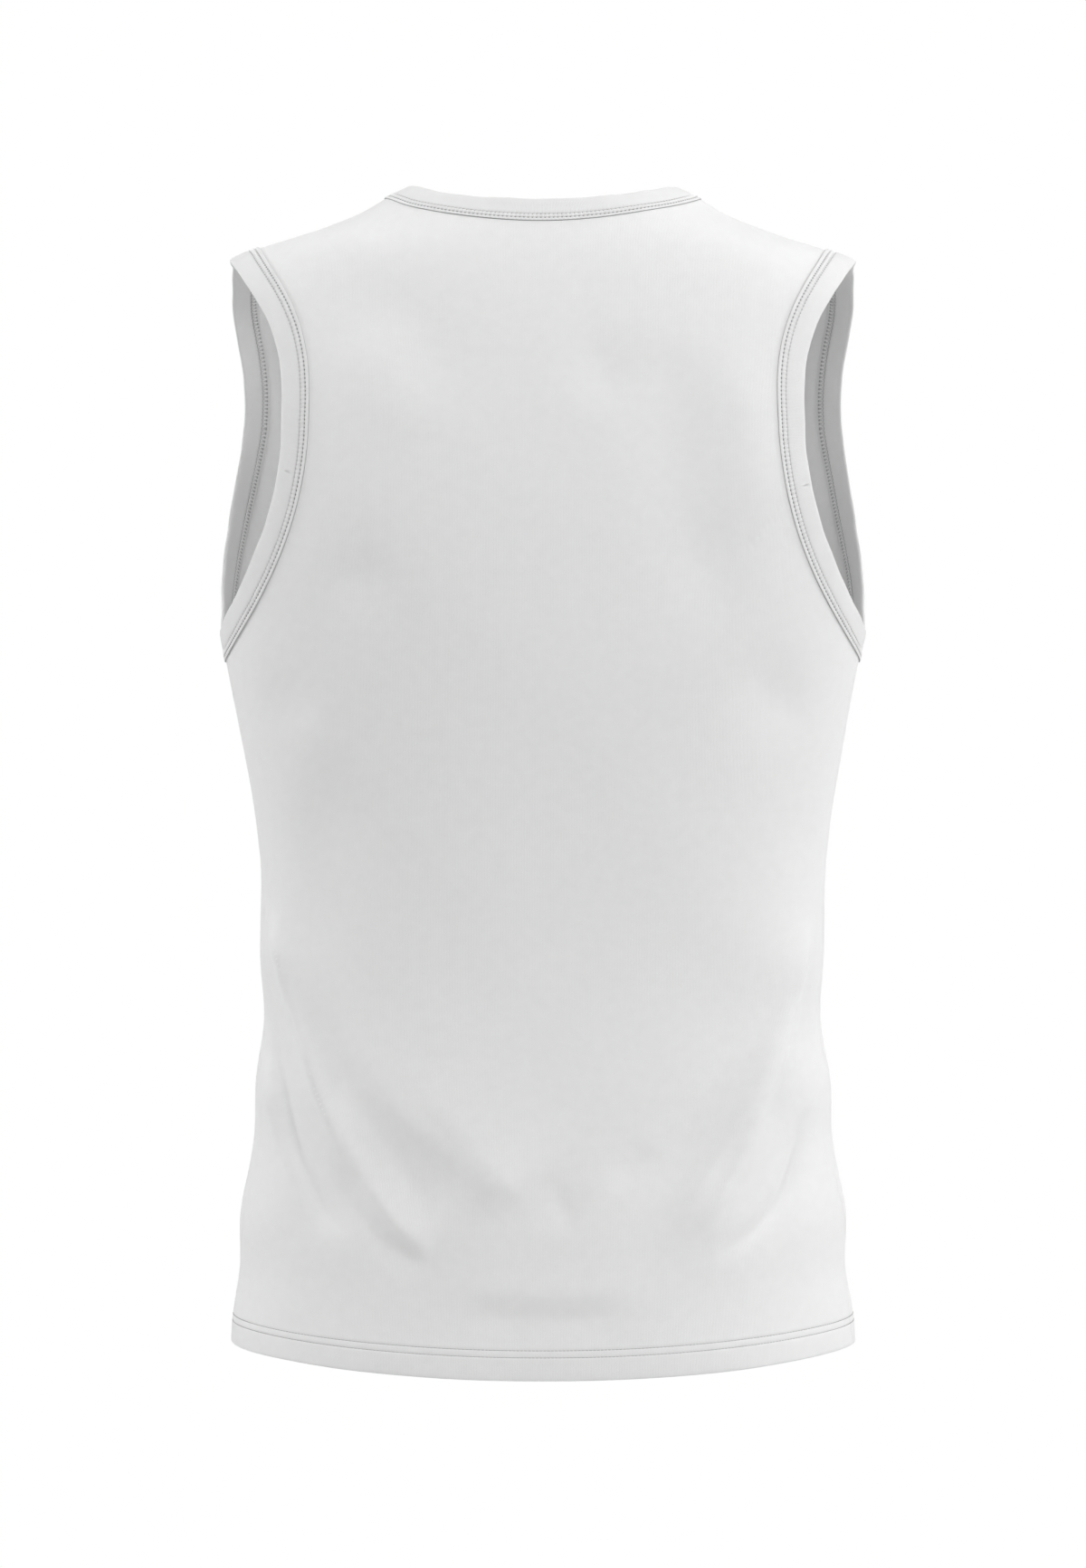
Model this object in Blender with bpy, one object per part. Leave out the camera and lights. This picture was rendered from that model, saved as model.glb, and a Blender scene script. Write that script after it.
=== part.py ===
"""Men's tank top, worn form, as five sewn pieces: two panels and three folded bindings.

Metres, +Z up. The garment faces -Y, its wearer's left is +X. The origin lies midway between the
two points where the shoulder seams meet the neck, which is where the shoulders carry it.

The cloth follows a stack of horizontal rings. A point on it is given by its height z and by an
angle phi round the ring: 0 at the left side, pi/2 at the centre back, pi at the right side and
-pi/2 at the centre front. The side seams and the shoulder seams lie at phi = 0 and phi = pi, and
below the armholes the cloth is turned a little, so that the side seams hang towards the back.
"""

import bpy
import numpy as np

# ---- cloth -------------------------------------------------------------------------------
CLOTH = 0.0012           # wall of a panel
BINDING_CLOTH = 0.0010   # wall of one leg of a binding
SEAM_GAP = 0.0003        # air between sewn pieces
BINDING_WIDTH = 0.018    # finished width of a binding, fold to free edge
RAW_EDGE = 0.0025        # a panel's raw edge lies this far inside the binding's fold
CAVITY_END = 0.0013      # the binding's hollow ends this far inside its fold
FOLD_ROUND = 0.72        # how full the binding's fold is, between a wedge and a square end
HEM_TURN_UP = 0.018      # height of the hem's doubled cloth
HEM_STEP = 0.0006        # height over which the doubled cloth ends

# ---- driving heights and widths -----------------------------------------------------------
HEM_Z = -0.6975          # hem at the side seams
HEM_DROP_BACK = 0.007    # the hem dips by this at the centre back
HEM_DROP_FRONT = 0.002
TIP_Z = -0.0460          # outer end of the shoulder, on the armhole's fold
UNDERARM_Z = -0.269      # lowest point of the armhole's fold
SEAM_TURN = 0.16         # the side seams hang turned to the back by this angle
SEAM_START = -0.30       # height where they begin to turn
SEAM_RUN = 0.10          # and the height over which they do
# the armhole's fold behind (+1) and in front (-1) of the side line: its greatest depth, the
# height where it has it, and its superellipse exponents above and below that height
ARMHOLE = {+1: (0.0877, -0.1515, 2.40, 2.20), -1: (0.0525, -0.1370, 2.30, 1.45)}
NECK_HALF = 0.079        # half width of the neck's fold at the shoulders
NECK_DROP_BACK = 0.017
NECK_DROP_FRONT = 0.115
NECK_POWER_BACK = 1.4    # how the neck's drop grows round from the shoulder
NECK_POWER_FRONT = 1.15

# ---- the rings: one row per height ----------------------------------------------------------
# z, half width, depth behind, depth in front, squareness behind, squareness in front
RINGS = (
    (0.0060, 0.0660, 0.050, 0.044, 2.05, 2.05),
    (0.0000, 0.0790, 0.056, 0.048, 2.05, 2.05),
    (-0.0083, 0.0966, 0.063, 0.053, 2.06, 2.05),
    (-0.0165, 0.1102, 0.070, 0.059, 2.08, 2.05),
    (-0.0250, 0.1295, 0.076, 0.065, 2.10, 2.05),
    (-0.0340, 0.1550, 0.083, 0.070, 2.12, 2.05),
    (-0.0425, 0.1790, 0.089, 0.075, 2.14, 2.05),
    (-0.0550, 0.2010, 0.096, 0.082, 2.16, 2.06),
    (-0.0700, 0.2115, 0.102, 0.088, 2.18, 2.08),
    (-0.0900, 0.2145, 0.108, 0.094, 2.22, 2.10),
    (-0.1200, 0.2125, 0.114, 0.101, 2.26, 2.10),
    (-0.1600, 0.2080, 0.118, 0.109, 2.28, 2.12),
    (-0.2000, 0.2040, 0.119, 0.113, 2.28, 2.15),
    (-0.2350, 0.2005, 0.117, 0.114, 2.26, 2.18),
    (-0.2690, 0.1945, 0.114, 0.113, 2.24, 2.20),
    (-0.3080, 0.1870, 0.109, 0.111, 2.24, 2.22),
    (-0.3630, 0.1768, 0.101, 0.107, 2.24, 2.24),
    (-0.4180, 0.1708, 0.095, 0.104, 2.24, 2.24),
    (-0.4730, 0.1702, 0.092, 0.102, 2.24, 2.24),
    (-0.5050, 0.1686, 0.093, 0.102, 2.22, 2.24),
    (-0.5430, 0.1742, 0.096, 0.103, 2.20, 2.22),
    (-0.5700, 0.1745, 0.099, 0.104, 2.18, 2.20),
    (-0.5975, 0.1788, 0.103, 0.105, 2.18, 2.20),
    (-0.6250, 0.1830, 0.107, 0.107, 2.18, 2.20),
    (-0.6520, 0.1828, 0.109, 0.108, 2.18, 2.18),
    (-0.6800, 0.1872, 0.111, 0.110, 2.17, 2.16),
    (-0.7000, 0.1889, 0.113, 0.111, 2.16, 2.15),
    (-0.7100, 0.1889, 0.113, 0.111, 2.16, 2.15),
)

# ---- the largest folds: one row per fold -----------------------------------------------------
# side (+1 back, -1 front), start x, start z, end x, end z, bow, half width, height off the cloth
FOLDS = (
    (+1, 0.170, -0.440, 0.062, -0.650, 0.022, 0.012, +0.0045),
    (+1, 0.172, -0.480, 0.085, -0.640, 0.026, 0.010, -0.0035),
    (+1, 0.176, -0.520, 0.125, -0.640, 0.016, 0.010, +0.0035),
    (+1, 0.140, -0.500, 0.020, -0.630, 0.016, 0.016, -0.0035),
    (+1, -0.172, -0.440, -0.050, -0.650, -0.028, 0.016, -0.0040),
    (+1, -0.150, -0.540, -0.100, -0.620, -0.010, 0.012, +0.0035),
    (+1, 0.110, -0.040, 0.045, -0.140, -0.010, 0.022, -0.0020),
    (+1, -0.050, -0.075, -0.120, -0.240, 0.012, 0.022, -0.0020),
    (-1, 0.168, -0.460, 0.040, -0.640, 0.024, 0.015, -0.0040),
    (-1, 0.174, -0.520, 0.090, -0.655, 0.020, 0.012, +0.0035),
    (-1, -0.168, -0.450, -0.060, -0.650, -0.026, 0.015, -0.0040),
    (-1, -0.172, -0.510, -0.110, -0.630, -0.018, 0.012, +0.0035),
)
FOLD_FADE = 0.25         # share of a fold's length over which each of its ends dies away

# ---- facets ----------------------------------------------------------------------------------
HEM_ROWS = 2             # rows that carry the doubled hem
SIDE_ROWS = 11           # rows of a panel between its hem and its underarm
STRAP_COLUMNS = 6        # columns of a panel along one shoulder seam, between the bindings
STRAP_ROWS = {+1: 4, -1: 5}
ARMHOLE_STATIONS = {+1: 16, -1: 14}
NECK_STATIONS = {+1: 14, -1: 18}
TOP_PULL = 2             # how late the rows take the spacing of the line under the neck
MIDDLE_PULL = 0.8        # how soon a row leaves the side's spacing for even steps
BINDING_LEVELS = (RAW_EDGE, 0.010, BINDING_WIDTH)
PROBE = 1e-5             # step of a numerical slope

WHITE = (0.90, 0.90, 0.90, 1.0)
ROUGHNESS = 0.88


# ---- curves and rings ------------------------------------------------------------------------
def spline_slopes(x, y):
    """Second derivatives of the natural cubic spline through the columns of y."""
    n = len(x)
    step = np.diff(x)
    matrix = np.zeros((n, n))
    right = np.zeros_like(y)
    matrix[0, 0] = matrix[-1, -1] = 1.0
    for i in range(1, n - 1):
        matrix[i, i - 1:i + 2] = step[i - 1], 2 * (step[i - 1] + step[i]), step[i]
        right[i] = 6 * ((y[i + 1] - y[i]) / step[i] - (y[i] - y[i - 1]) / step[i - 1])
    return np.linalg.solve(matrix, right)


RING_TABLE = np.array(RINGS)[::-1]
RING_Z = RING_TABLE[:, 0]
RING_ROWS = RING_TABLE[:, 1:]
RING_SLOPES = spline_slopes(RING_Z, RING_ROWS)


def ring(z):
    """Half width, depths and squareness at the heights z, on a smooth curve through the rows."""
    z = np.clip(np.asarray(z, float), RING_Z[0], RING_Z[-1])
    i = np.clip(np.searchsorted(RING_Z, z) - 1, 0, len(RING_Z) - 2)
    h = (RING_Z[i + 1] - RING_Z[i])[..., None]
    a = (RING_Z[i + 1] - z)[..., None] / h
    b = 1 - a
    low, high = RING_ROWS[i], RING_ROWS[i + 1]
    bend = (a ** 3 - a) * RING_SLOPES[i] + (b ** 3 - b) * RING_SLOPES[i + 1]
    rows = a * low + b * high + bend * h * h / 6
    return [rows[..., k] for k in range(5)]


def smooth_step(t):
    t = np.clip(t, 0, 1)
    return t * t * (3 - 2 * t)


def seam_turn(phi, z):
    """The angle by which a point is turned towards the back, so that the side seams hang there."""
    return SEAM_TURN * smooth_step((SEAM_START - z) / SEAM_RUN) * np.cos(phi)


def figure(phi, z):
    """Points of the smooth form at the angles phi and heights z, the seams' turn included."""
    half, back, front, square_back, square_front = ring(z)
    phi = phi + seam_turn(phi, z)
    behind = np.sin(phi) >= 0
    depth = np.where(behind, back, front)
    n = np.where(behind, square_back, square_front)
    cos, sin = np.cos(phi), np.sin(phi)
    reach = (np.abs(cos) ** n + np.abs(sin) ** n) ** (-1 / n)
    return np.stack([half * reach * cos, depth * reach * sin, z + 0 * reach], -1)


def angle_at_width(x, z, side):
    """The angle at which the ring at z has the x given, behind (+1) or in front (-1)."""
    half, _, _, square_back, square_front = ring(z)
    n = square_back if side > 0 else square_front
    share = np.clip(np.abs(x) / half, 1e-6, 1.0) ** n
    steep = np.arctan2(np.clip(1 - share, 0, 1) ** (1 / n), share ** (1 / n))
    angle = side * np.where(np.asarray(x) >= 0, steep, np.pi - steep)
    return angle - seam_turn(angle, z)


def angle_at_depth(y, z):
    """The angle, on the left half, at which the ring at z has the y given."""
    _, back, front, square_back, square_front = ring(z)
    depth = np.where(y >= 0, back, front)
    n = np.where(y >= 0, square_back, square_front)
    share = np.clip(np.abs(y) / depth, 0.0, 1.0) ** n
    return np.sign(y) * np.arctan2(share ** (1 / n), (1 - share) ** (1 / n))


def bowed_path(side, x0, z0, x1, z1, bow, steps=24):
    """Points of the form along a fold's line, which bows sideways by the distance given."""
    t = np.linspace(0, 1, steps)
    length = np.hypot(x1 - x0, z1 - z0)
    across = np.array([-(z1 - z0), x1 - x0]) / length
    arch = 4 * bow * t * (1 - t)
    x = x0 + (x1 - x0) * t + across[0] * arch
    z = z0 + (z1 - z0) * t + across[1] * arch
    return figure(angle_at_width(x, z, side), z)


def fold_height(points):
    """How far the folds lift the cloth off the smooth form at the points."""
    total = np.zeros(points.shape[:-1])
    for side, x0, z0, x1, z1, bow, half_width, height in FOLDS:
        path = bowed_path(side, x0, z0, x1, z1, bow)
        start, run = path[:-1], np.diff(path, axis=0)
        offset = points[..., None, :] - start
        t = np.clip((offset * run).sum(-1) / (run * run).sum(-1), 0, 1)
        gap = np.linalg.norm(offset - t[..., None] * run, axis=-1)
        nearest = gap.argmin(-1)[..., None]
        along = (nearest + np.take_along_axis(t, nearest, -1))[..., 0] / len(run)
        distance = np.take_along_axis(gap, nearest, -1)[..., 0]
        fade = smooth_step(along / FOLD_FADE) * smooth_step((1 - along) / FOLD_FADE)
        total += height * fade * np.exp(-(distance / half_width) ** 2)
    return total


def slopes_and_normal(surface, phi, z):
    """Slopes of a surface with phi and z, and its outward normal."""
    by_phi = (surface(phi + PROBE, z) - surface(phi - PROBE, z)) / (2 * PROBE)
    by_z = (surface(phi, z + PROBE) - surface(phi, z - PROBE)) / (2 * PROBE)
    normal = np.cross(by_phi, by_z)
    return by_phi, by_z, normal / np.linalg.norm(normal, axis=-1, keepdims=True)


def cloth(phi, z):
    """Points of the cloth's middle layer, folds and all."""
    points = figure(phi, z)
    normal = slopes_and_normal(figure, phi, z)[2]
    return points + fold_height(points)[..., None] * normal


# ---- edges -----------------------------------------------------------------------------------
def even_steps(phi, z, intervals):
    """Resample a dense line of the form so that its points lie evenly along it."""
    points = figure(phi, z)
    run = np.r_[0, np.cumsum(np.linalg.norm(np.diff(points, axis=0), axis=1))]
    at = np.linspace(0, run[-1], intervals + 1)
    return np.interp(at, run, phi), np.interp(at, run, z)


def armhole_fold(side):
    """Angles and heights of half the left armhole's fold, from the underarm up to the shoulder."""
    depth, deepest_z, round_above, round_below = ARMHOLE[side]
    turn = np.linspace(0, np.pi, 400)
    below = turn < np.pi / 2
    roundness = np.where(below, round_below, round_above)
    reach = np.where(below, deepest_z - UNDERARM_Z, TIP_Z - deepest_z)
    z = deepest_z - reach * np.sign(np.cos(turn)) * np.abs(np.cos(turn)) ** (2 / roundness)
    y = side * depth * np.sin(turn) ** (2 / roundness)
    phi, z = even_steps(angle_at_depth(y, z), z, ARMHOLE_STATIONS[side])
    phi[0] = phi[-1] = 0.0
    return phi, z


def neck_fold(side):
    """Angles and heights of the back or front neck's fold, from the left shoulder to the right."""
    turn = np.linspace(0, np.pi, 600)
    drop, power = (NECK_DROP_BACK, NECK_POWER_BACK) if side > 0 else (NECK_DROP_FRONT, NECK_POWER_FRONT)
    z = -drop * np.sin(turn) ** power
    phi = angle_at_width(NECK_HALF * np.cos(turn), z, side)
    phi, z = even_steps(phi, z, NECK_STATIONS[side])
    phi[0], phi[-1] = 0.0, side * np.pi
    return phi, z


def step_inward(phi, z, inward, distance, steps=6):
    """Walk from an edge over the form, square to the edge, by the distance given.

    inward is +1 where the cloth lies on the left of the edge as it runs, seen from outside.
    Ends that start on a seam stay on it.
    """
    phi, z = phi.copy(), z.copy()
    on_seam = np.isclose(np.sin(phi), 0, atol=1e-9)
    points = figure(phi, z)
    along = np.gradient(points, axis=0)
    by_phi, by_z, normal = slopes_and_normal(figure, phi, z)
    across = inward * np.cross(normal, along)
    seam_way = by_z * np.sign((across * by_z).sum(-1, keepdims=True))
    across = np.where(on_seam[:, None], seam_way, across)
    across /= np.linalg.norm(across, axis=1, keepdims=True)
    for _ in range(steps):
        by_phi, by_z, normal = slopes_and_normal(figure, phi, z)
        across -= (across * normal).sum(-1, keepdims=True) * normal
        across /= np.linalg.norm(across, axis=1, keepdims=True)
        e, f, g = (by_phi * by_phi).sum(-1), (by_phi * by_z).sum(-1), (by_z * by_z).sum(-1)
        p, q = (across * by_phi).sum(-1), (across * by_z).sum(-1)
        area = e * g - f * f
        phi = phi + np.where(on_seam, 0, (g * p - f * q) / area * distance / steps)
        z = z + np.where(on_seam, q / g, (e * q - f * p) / area) * distance / steps
    return phi, z


def edge_levels(phi, z, inward):
    """An edge's fold line walked inward to each of the binding's levels."""
    return [step_inward(phi, z, inward, level) for level in BINDING_LEVELS]


def mirrored(line, side):
    phi, z = line
    return side * np.pi - phi, z


# ---- meshes ----------------------------------------------------------------------------------
def new_object(name, points, faces, collection):
    """A closed mesh object with its own white cloth material."""
    mesh = bpy.data.meshes.new(name)
    mesh.from_pydata([tuple(p) for p in points], [], faces)
    mesh.validate()
    obj = bpy.data.objects.new(name, mesh)
    collection.objects.link(obj)
    material = bpy.data.materials.new(name + "_cloth")
    material.use_nodes = True
    shader = material.node_tree.nodes["Principled BSDF"]
    shader.inputs["Base Color"].default_value = WHITE
    shader.inputs["Roughness"].default_value = ROUGHNESS
    shader.inputs["Metallic"].default_value = 0.0
    mesh.materials.append(material)
    mesh.shade_smooth()
    return obj


def blend_sides(bottom, top, left, right):
    """Fill a four-sided patch from its sides: rows run from bottom to top, columns left to right."""
    t = np.linspace(0, 1, len(left))[:, None]
    s = np.linspace(0, 1, len(bottom))[None, :]
    across = (1 - s) * left[:, None] + s * right[:, None]
    upward = (1 - t) * bottom[None, :] + t * top[None, :]
    corners = ((1 - s) * (1 - t) * bottom[0] + s * (1 - t) * bottom[-1]
               + (1 - s) * t * top[0] + s * t * top[-1])
    return across + upward - corners


def fill_body(left_phi, left_z, hem_phi, top_phi, top_z, side):
    """Angles and heights of a panel below its straps: rows from hem to top, columns left to right.

    A row starts with the hem's spacing and takes the top line's by and by. Its ends follow the
    side, and its middle keeps the rows at even steps up to the top line.
    """
    edge = figure(left_phi, left_z)
    run = np.r_[0, np.cumsum(np.linalg.norm(np.diff(edge, axis=0), axis=1))]
    pull = ((run / run[-1]) ** TOP_PULL)[:, None]
    top_share = (top_phi - top_phi[0]) / (top_phi[-1] - top_phi[0])
    share = (1 - pull) * hem_phi / (side * np.pi) + pull * top_share
    left_phi, left_z = left_phi[:, None], left_z[:, None]
    start_z = left_z[HEM_ROWS]
    steps = np.clip(np.arange(len(left_z)) - HEM_ROWS, 0, None)[:, None] / (len(left_z) - 1 - HEM_ROWS)
    even_z = start_z + steps * (top_z - start_z)
    even_z[:HEM_ROWS] = left_z[:HEM_ROWS]
    edge_z = left_z + steps ** 2 * (top_z - top_z[0])
    middle = np.sin(np.pi * np.clip(np.abs(share), 0, 1 - 1e-9)) ** MIDDLE_PULL
    return left_phi + (side * np.pi - 2 * left_phi) * share, edge_z + middle * (even_z - edge_z)


def hem_line(phi, side):
    drop = HEM_DROP_BACK if side > 0 else HEM_DROP_FRONT
    return HEM_Z - drop * np.abs(np.sin(phi)) ** 2


def side_seam(rows_above_hem, underarm_z, side):
    """Heights of a panel's rows along its side seam, the doubled hem's rows first."""
    hem = hem_line(np.zeros(1), side)[0]
    start = hem + HEM_TURN_UP
    return np.r_[hem, start, np.linspace(start + HEM_STEP, underarm_z, rows_above_hem)]


def panel_grid(side, arm_in, neck_in):
    """Angles, heights and point numbers of a panel's grid inside its borders.

    The grid's rows rise from the hem to the shoulder seams. Its upper rows exist only in the two
    straps, and the neck's border follows the notch between them.
    """
    strap_rows = STRAP_ROWS[side]
    seam_z = side_seam(SIDE_ROWS, arm_in[1][0], side)
    left_phi = np.r_[np.zeros(len(seam_z)), arm_in[0][1:]]
    left_z = np.r_[seam_z, arm_in[1][1:]]
    foot_row = len(left_phi) - 1 - strap_rows
    neck_phi, neck_z = neck_in
    neck_end = len(neck_phi) - strap_rows
    foot_phi = np.linspace(left_phi[foot_row], neck_phi[strap_rows], STRAP_COLUMNS + 1)
    foot_z = np.linspace(left_z[foot_row], neck_z[strap_rows], STRAP_COLUMNS + 1)
    top_phi = np.r_[foot_phi[:-1], neck_phi[strap_rows:neck_end], side * np.pi - foot_phi[-2::-1]]
    top_z = np.r_[foot_z[:-1], neck_z[strap_rows:neck_end], foot_z[-2::-1]]

    columns = len(top_phi) - 1
    hem_phi, _ = even_steps(side * np.linspace(0, np.pi, 400), np.full(400, HEM_Z), columns)
    hem_phi[0], hem_phi[-1] = 0.0, side * np.pi
    phi, z = fill_body(left_phi[:foot_row + 1], left_z[:foot_row + 1], hem_phi, top_phi, top_z, side)
    dip = hem_line(phi, side) - HEM_Z
    z += dip * np.clip(1 - (z - HEM_Z) / (left_z[foot_row] - HEM_Z), 0, 1) ** 3

    seam_line = np.linspace(left_z[-1], neck_z[0], STRAP_COLUMNS + 1)
    strap_phi = blend_sides(foot_phi, 0 * seam_line, left_phi[foot_row:], neck_phi[strap_rows::-1])
    strap_z = blend_sides(foot_z, seam_line, left_z[foot_row:], neck_z[strap_rows::-1])
    blank = np.full((strap_rows, columns - 2 * STRAP_COLUMNS - 1), np.nan)
    phi = np.vstack([phi, np.hstack([strap_phi[1:], blank, side * np.pi - strap_phi[1:, ::-1]])])
    z = np.vstack([z, np.hstack([strap_z[1:], blank, strap_z[1:, ::-1]])])
    index = np.full(phi.shape, -1)
    used = ~np.isnan(phi)
    index[used] = np.arange(used.sum())
    return phi[used], z[used], index, len(seam_z) - 1, foot_row


def panel(name, side, collection):
    """One panel: the main grid, a border along each armhole and one along the neck."""
    arm = edge_levels(*armhole_fold(side), inward=-side)
    neck = edge_levels(*neck_fold(side), inward=-side)
    phi, z, index, arm_row, foot_row = panel_grid(side, arm[-1], neck[-1])
    all_phi, all_z, count = [phi], [z], len(phi)
    quads = patch_quads(index)
    last = index.shape[1] - 1 - STRAP_COLUMNS
    notch = np.r_[
        index[:foot_row:-1, STRAP_COLUMNS], index[foot_row, STRAP_COLUMNS:last], index[foot_row:, last]
    ]
    edge_loops = {}
    borders = (
        ("left", arm, index[arm_row:, 0]),
        ("right", [mirrored(level, side) for level in arm], index[arm_row:, -1]),
        ("neck", neck, notch),
    )
    for key, levels, inner in borders:
        lines = [inner]
        for level_phi, level_z in levels[-2::-1]:
            lines.append(count + np.arange(len(level_phi)))
            all_phi.append(level_phi)
            all_z.append(level_z)
            count += len(level_phi)
        lines = np.array(lines)
        quads += border_quads(key, lines)
        edge_loops[key] = lines
    all_phi, all_z = np.concatenate(all_phi), np.concatenate(all_z)
    if side < 0:
        quads = [quad[::-1] for quad in quads]

    middle = cloth(all_phi, all_z) + [0, side * SEAM_GAP / 2, 0]
    normal = slopes_and_normal(cloth, all_phi, all_z)[2]
    inner_half = np.full(count, CLOTH / 2)
    inner_half[index[:HEM_ROWS].ravel()] = CLOTH * 3 / 2
    outer = middle + normal * CLOTH / 2
    inner = middle - normal * inner_half[:, None]
    faces = close_sheet(quads, count)
    new_object(name, np.vstack([outer, inner]), faces, collection)
    return {key: (middle[lines], normal[lines]) for key, lines in edge_loops.items()}


def patch_quads(index):
    """Quads over a grid of point numbers, facing outward for rows that rise and run +x to -x."""
    a, b, c, d = index[:-1, :-1], index[:-1, 1:], index[1:, 1:], index[1:, :-1]
    quads = np.stack([a.ravel(), b.ravel(), c.ravel(), d.ravel()], 1)
    return [tuple(int(v) for v in quad) for quad in quads if quad.min() >= 0]


def border_quads(key, lines):
    """Quads of one border, whose lines run from the patch out to the raw edge.

    Their first corner starts the diagonal that the binding's own facets follow.
    """
    if key == "neck":
        return patch_quads(lines)
    if key == "right":
        return patch_quads(lines.T)
    return [quad[1:] + quad[:1] for quad in patch_quads(lines[::-1].T)]


def close_sheet(quads, count):
    """Faces of a solid sheet: the outer quads, the inner ones turned over, and the rim between."""
    used = {}
    for quad in quads:
        for a, b in zip(quad, quad[1:] + quad[:1]):
            used[(a, b)] = used.get((a, b), 0) + 1
    faces = []
    for a, b, c, d in quads:
        faces += [(a, b, c), (a, c, d), (a + count, c + count, b + count), (a + count, d + count, c + count)]
    for a, b in used:
        if (b, a) not in used:
            faces += [(b, a, a + count), (b, a + count, b + count)]
    return faces


def binding_section():
    """The folded strip's section: pairs of level number and offset, out along the normal.

    Level -1 is the fold line itself, -2 is the end of the hollow and -3 is the fold's shoulder.
    """
    near = CLOTH / 2 + SEAM_GAP
    far = near + BINDING_CLOTH
    return (
        (2, far), (1, far), (0, far), (-3, far * FOLD_ROUND), (-1, 0.0), (-3, -far * FOLD_ROUND),
        (0, -far), (1, -far), (2, -far), (2, -near), (1, -near), (-2, -near),
        (-2, near), (1, near), (2, near),
    )


def binding(name, back, front, collection):
    """A folded strip all round an opening, from the panels' own border points."""
    middle, normal = [], []
    for level in (2, 1, 0):
        back_points, back_normals = back[0][2 - level], back[1][2 - level]
        front_points, front_normals = front[0][2 - level], front[1][2 - level]
        start = (back_points[0] + front_points[0]) / 2
        end = (back_points[-1] + front_points[-1]) / 2
        loop = np.vstack([start, back_points[1:-1], end, front_points[-2:0:-1]])
        start = (back_normals[0] + front_normals[0]) / 2
        end = (back_normals[-1] + front_normals[-1]) / 2
        normals = np.vstack([start, back_normals[1:-1], end, front_normals[-2:0:-1]])
        middle.insert(0, loop)
        normal.insert(0, normals / np.linalg.norm(normals, axis=1, keepdims=True))
    outward = middle[0] - middle[1]
    outward /= np.linalg.norm(outward, axis=1, keepdims=True)
    reach = {-1: RAW_EDGE, -2: RAW_EDGE - CAVITY_END, -3: RAW_EDGE * FOLD_ROUND}
    rings, section = [], binding_section()
    for level, offset in section:
        base = middle[level] if level >= 0 else middle[0] + outward * reach[level]
        rings.append(base + normal[max(level, 0)] * offset)
    points = np.stack(rings)
    sides, stations = points.shape[:2]
    index = np.arange(sides * stations).reshape(sides, stations)
    faces = []
    for i in range(sides):
        toward_panel = section[i][0] < section[(i + 1) % sides][0]
        for j in range(stations):
            a, b = int(index[i, j]), int(index[i, (j + 1) % stations])
            d, c = int(index[(i + 1) % sides, j]), int(index[(i + 1) % sides, (j + 1) % stations])
            faces += [(b, c, d), (b, d, a)] if toward_panel else [(a, b, c), (a, c, d)]
    points = points.reshape(-1, 3)
    if signed_volume(points, faces) < 0:
        faces = [face[::-1] for face in faces]
    new_object(name, points, faces, collection)


def signed_volume(points, faces):
    a, b, c = (points[[face[k] for face in faces]] for k in range(3))
    return float((a * np.cross(b, c)).sum()) / 6


def main():
    for obj in list(bpy.data.objects):
        bpy.data.objects.remove(obj, do_unlink=True)
    collection = bpy.data.collections.new("tank_top")
    bpy.context.scene.collection.children.link(collection)

    back = panel("back_panel", +1, collection)
    front = panel("front_panel", -1, collection)
    binding("neck_binding", back["neck"], front["neck"], collection)
    binding("left_armhole_binding", back["left"], front["left"], collection)
    binding("right_armhole_binding", back["right"], front["right"], collection)


main()
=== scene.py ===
"""Looks of the tank top: thin knit shells, folded bindings, stitches and seams on the CAD frame.

Metres, +Z up. The garment faces -Y, its wearer's left is +X. A point of the cloth is given by its
height z and by an angle phi round the ring at that height: 0 at the left side, pi/2 at the centre
back, pi at the right side and -pi/2 at the centre front, as in the CAD model.
"""

import bpy
import numpy as np
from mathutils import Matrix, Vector

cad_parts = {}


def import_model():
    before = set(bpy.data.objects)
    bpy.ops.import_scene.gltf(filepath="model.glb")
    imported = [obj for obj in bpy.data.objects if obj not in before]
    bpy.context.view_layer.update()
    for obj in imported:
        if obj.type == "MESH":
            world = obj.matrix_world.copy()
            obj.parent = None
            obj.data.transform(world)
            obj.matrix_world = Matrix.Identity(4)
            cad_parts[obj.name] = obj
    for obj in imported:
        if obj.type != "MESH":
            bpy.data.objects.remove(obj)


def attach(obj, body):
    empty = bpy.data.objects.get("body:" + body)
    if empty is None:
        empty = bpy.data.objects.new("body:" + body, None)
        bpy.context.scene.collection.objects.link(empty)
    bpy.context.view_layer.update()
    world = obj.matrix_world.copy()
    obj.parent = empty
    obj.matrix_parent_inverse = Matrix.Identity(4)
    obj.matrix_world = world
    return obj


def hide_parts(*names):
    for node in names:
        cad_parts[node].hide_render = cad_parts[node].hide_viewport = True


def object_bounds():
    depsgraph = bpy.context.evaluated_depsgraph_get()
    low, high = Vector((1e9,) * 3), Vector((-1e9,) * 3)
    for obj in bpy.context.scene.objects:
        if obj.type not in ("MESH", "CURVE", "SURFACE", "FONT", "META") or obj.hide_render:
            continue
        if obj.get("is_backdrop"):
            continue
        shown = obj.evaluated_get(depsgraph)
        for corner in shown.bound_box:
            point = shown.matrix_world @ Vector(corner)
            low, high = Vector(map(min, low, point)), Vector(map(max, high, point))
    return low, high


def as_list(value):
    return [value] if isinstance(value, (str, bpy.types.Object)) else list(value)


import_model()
cad_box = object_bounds()

MM = 0.001


def metres(lengths):
    """Lengths written in millimetres, as the same numbers that they would be if written in metres."""
    return np.round(MM * np.array(lengths, float), 7)


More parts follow.
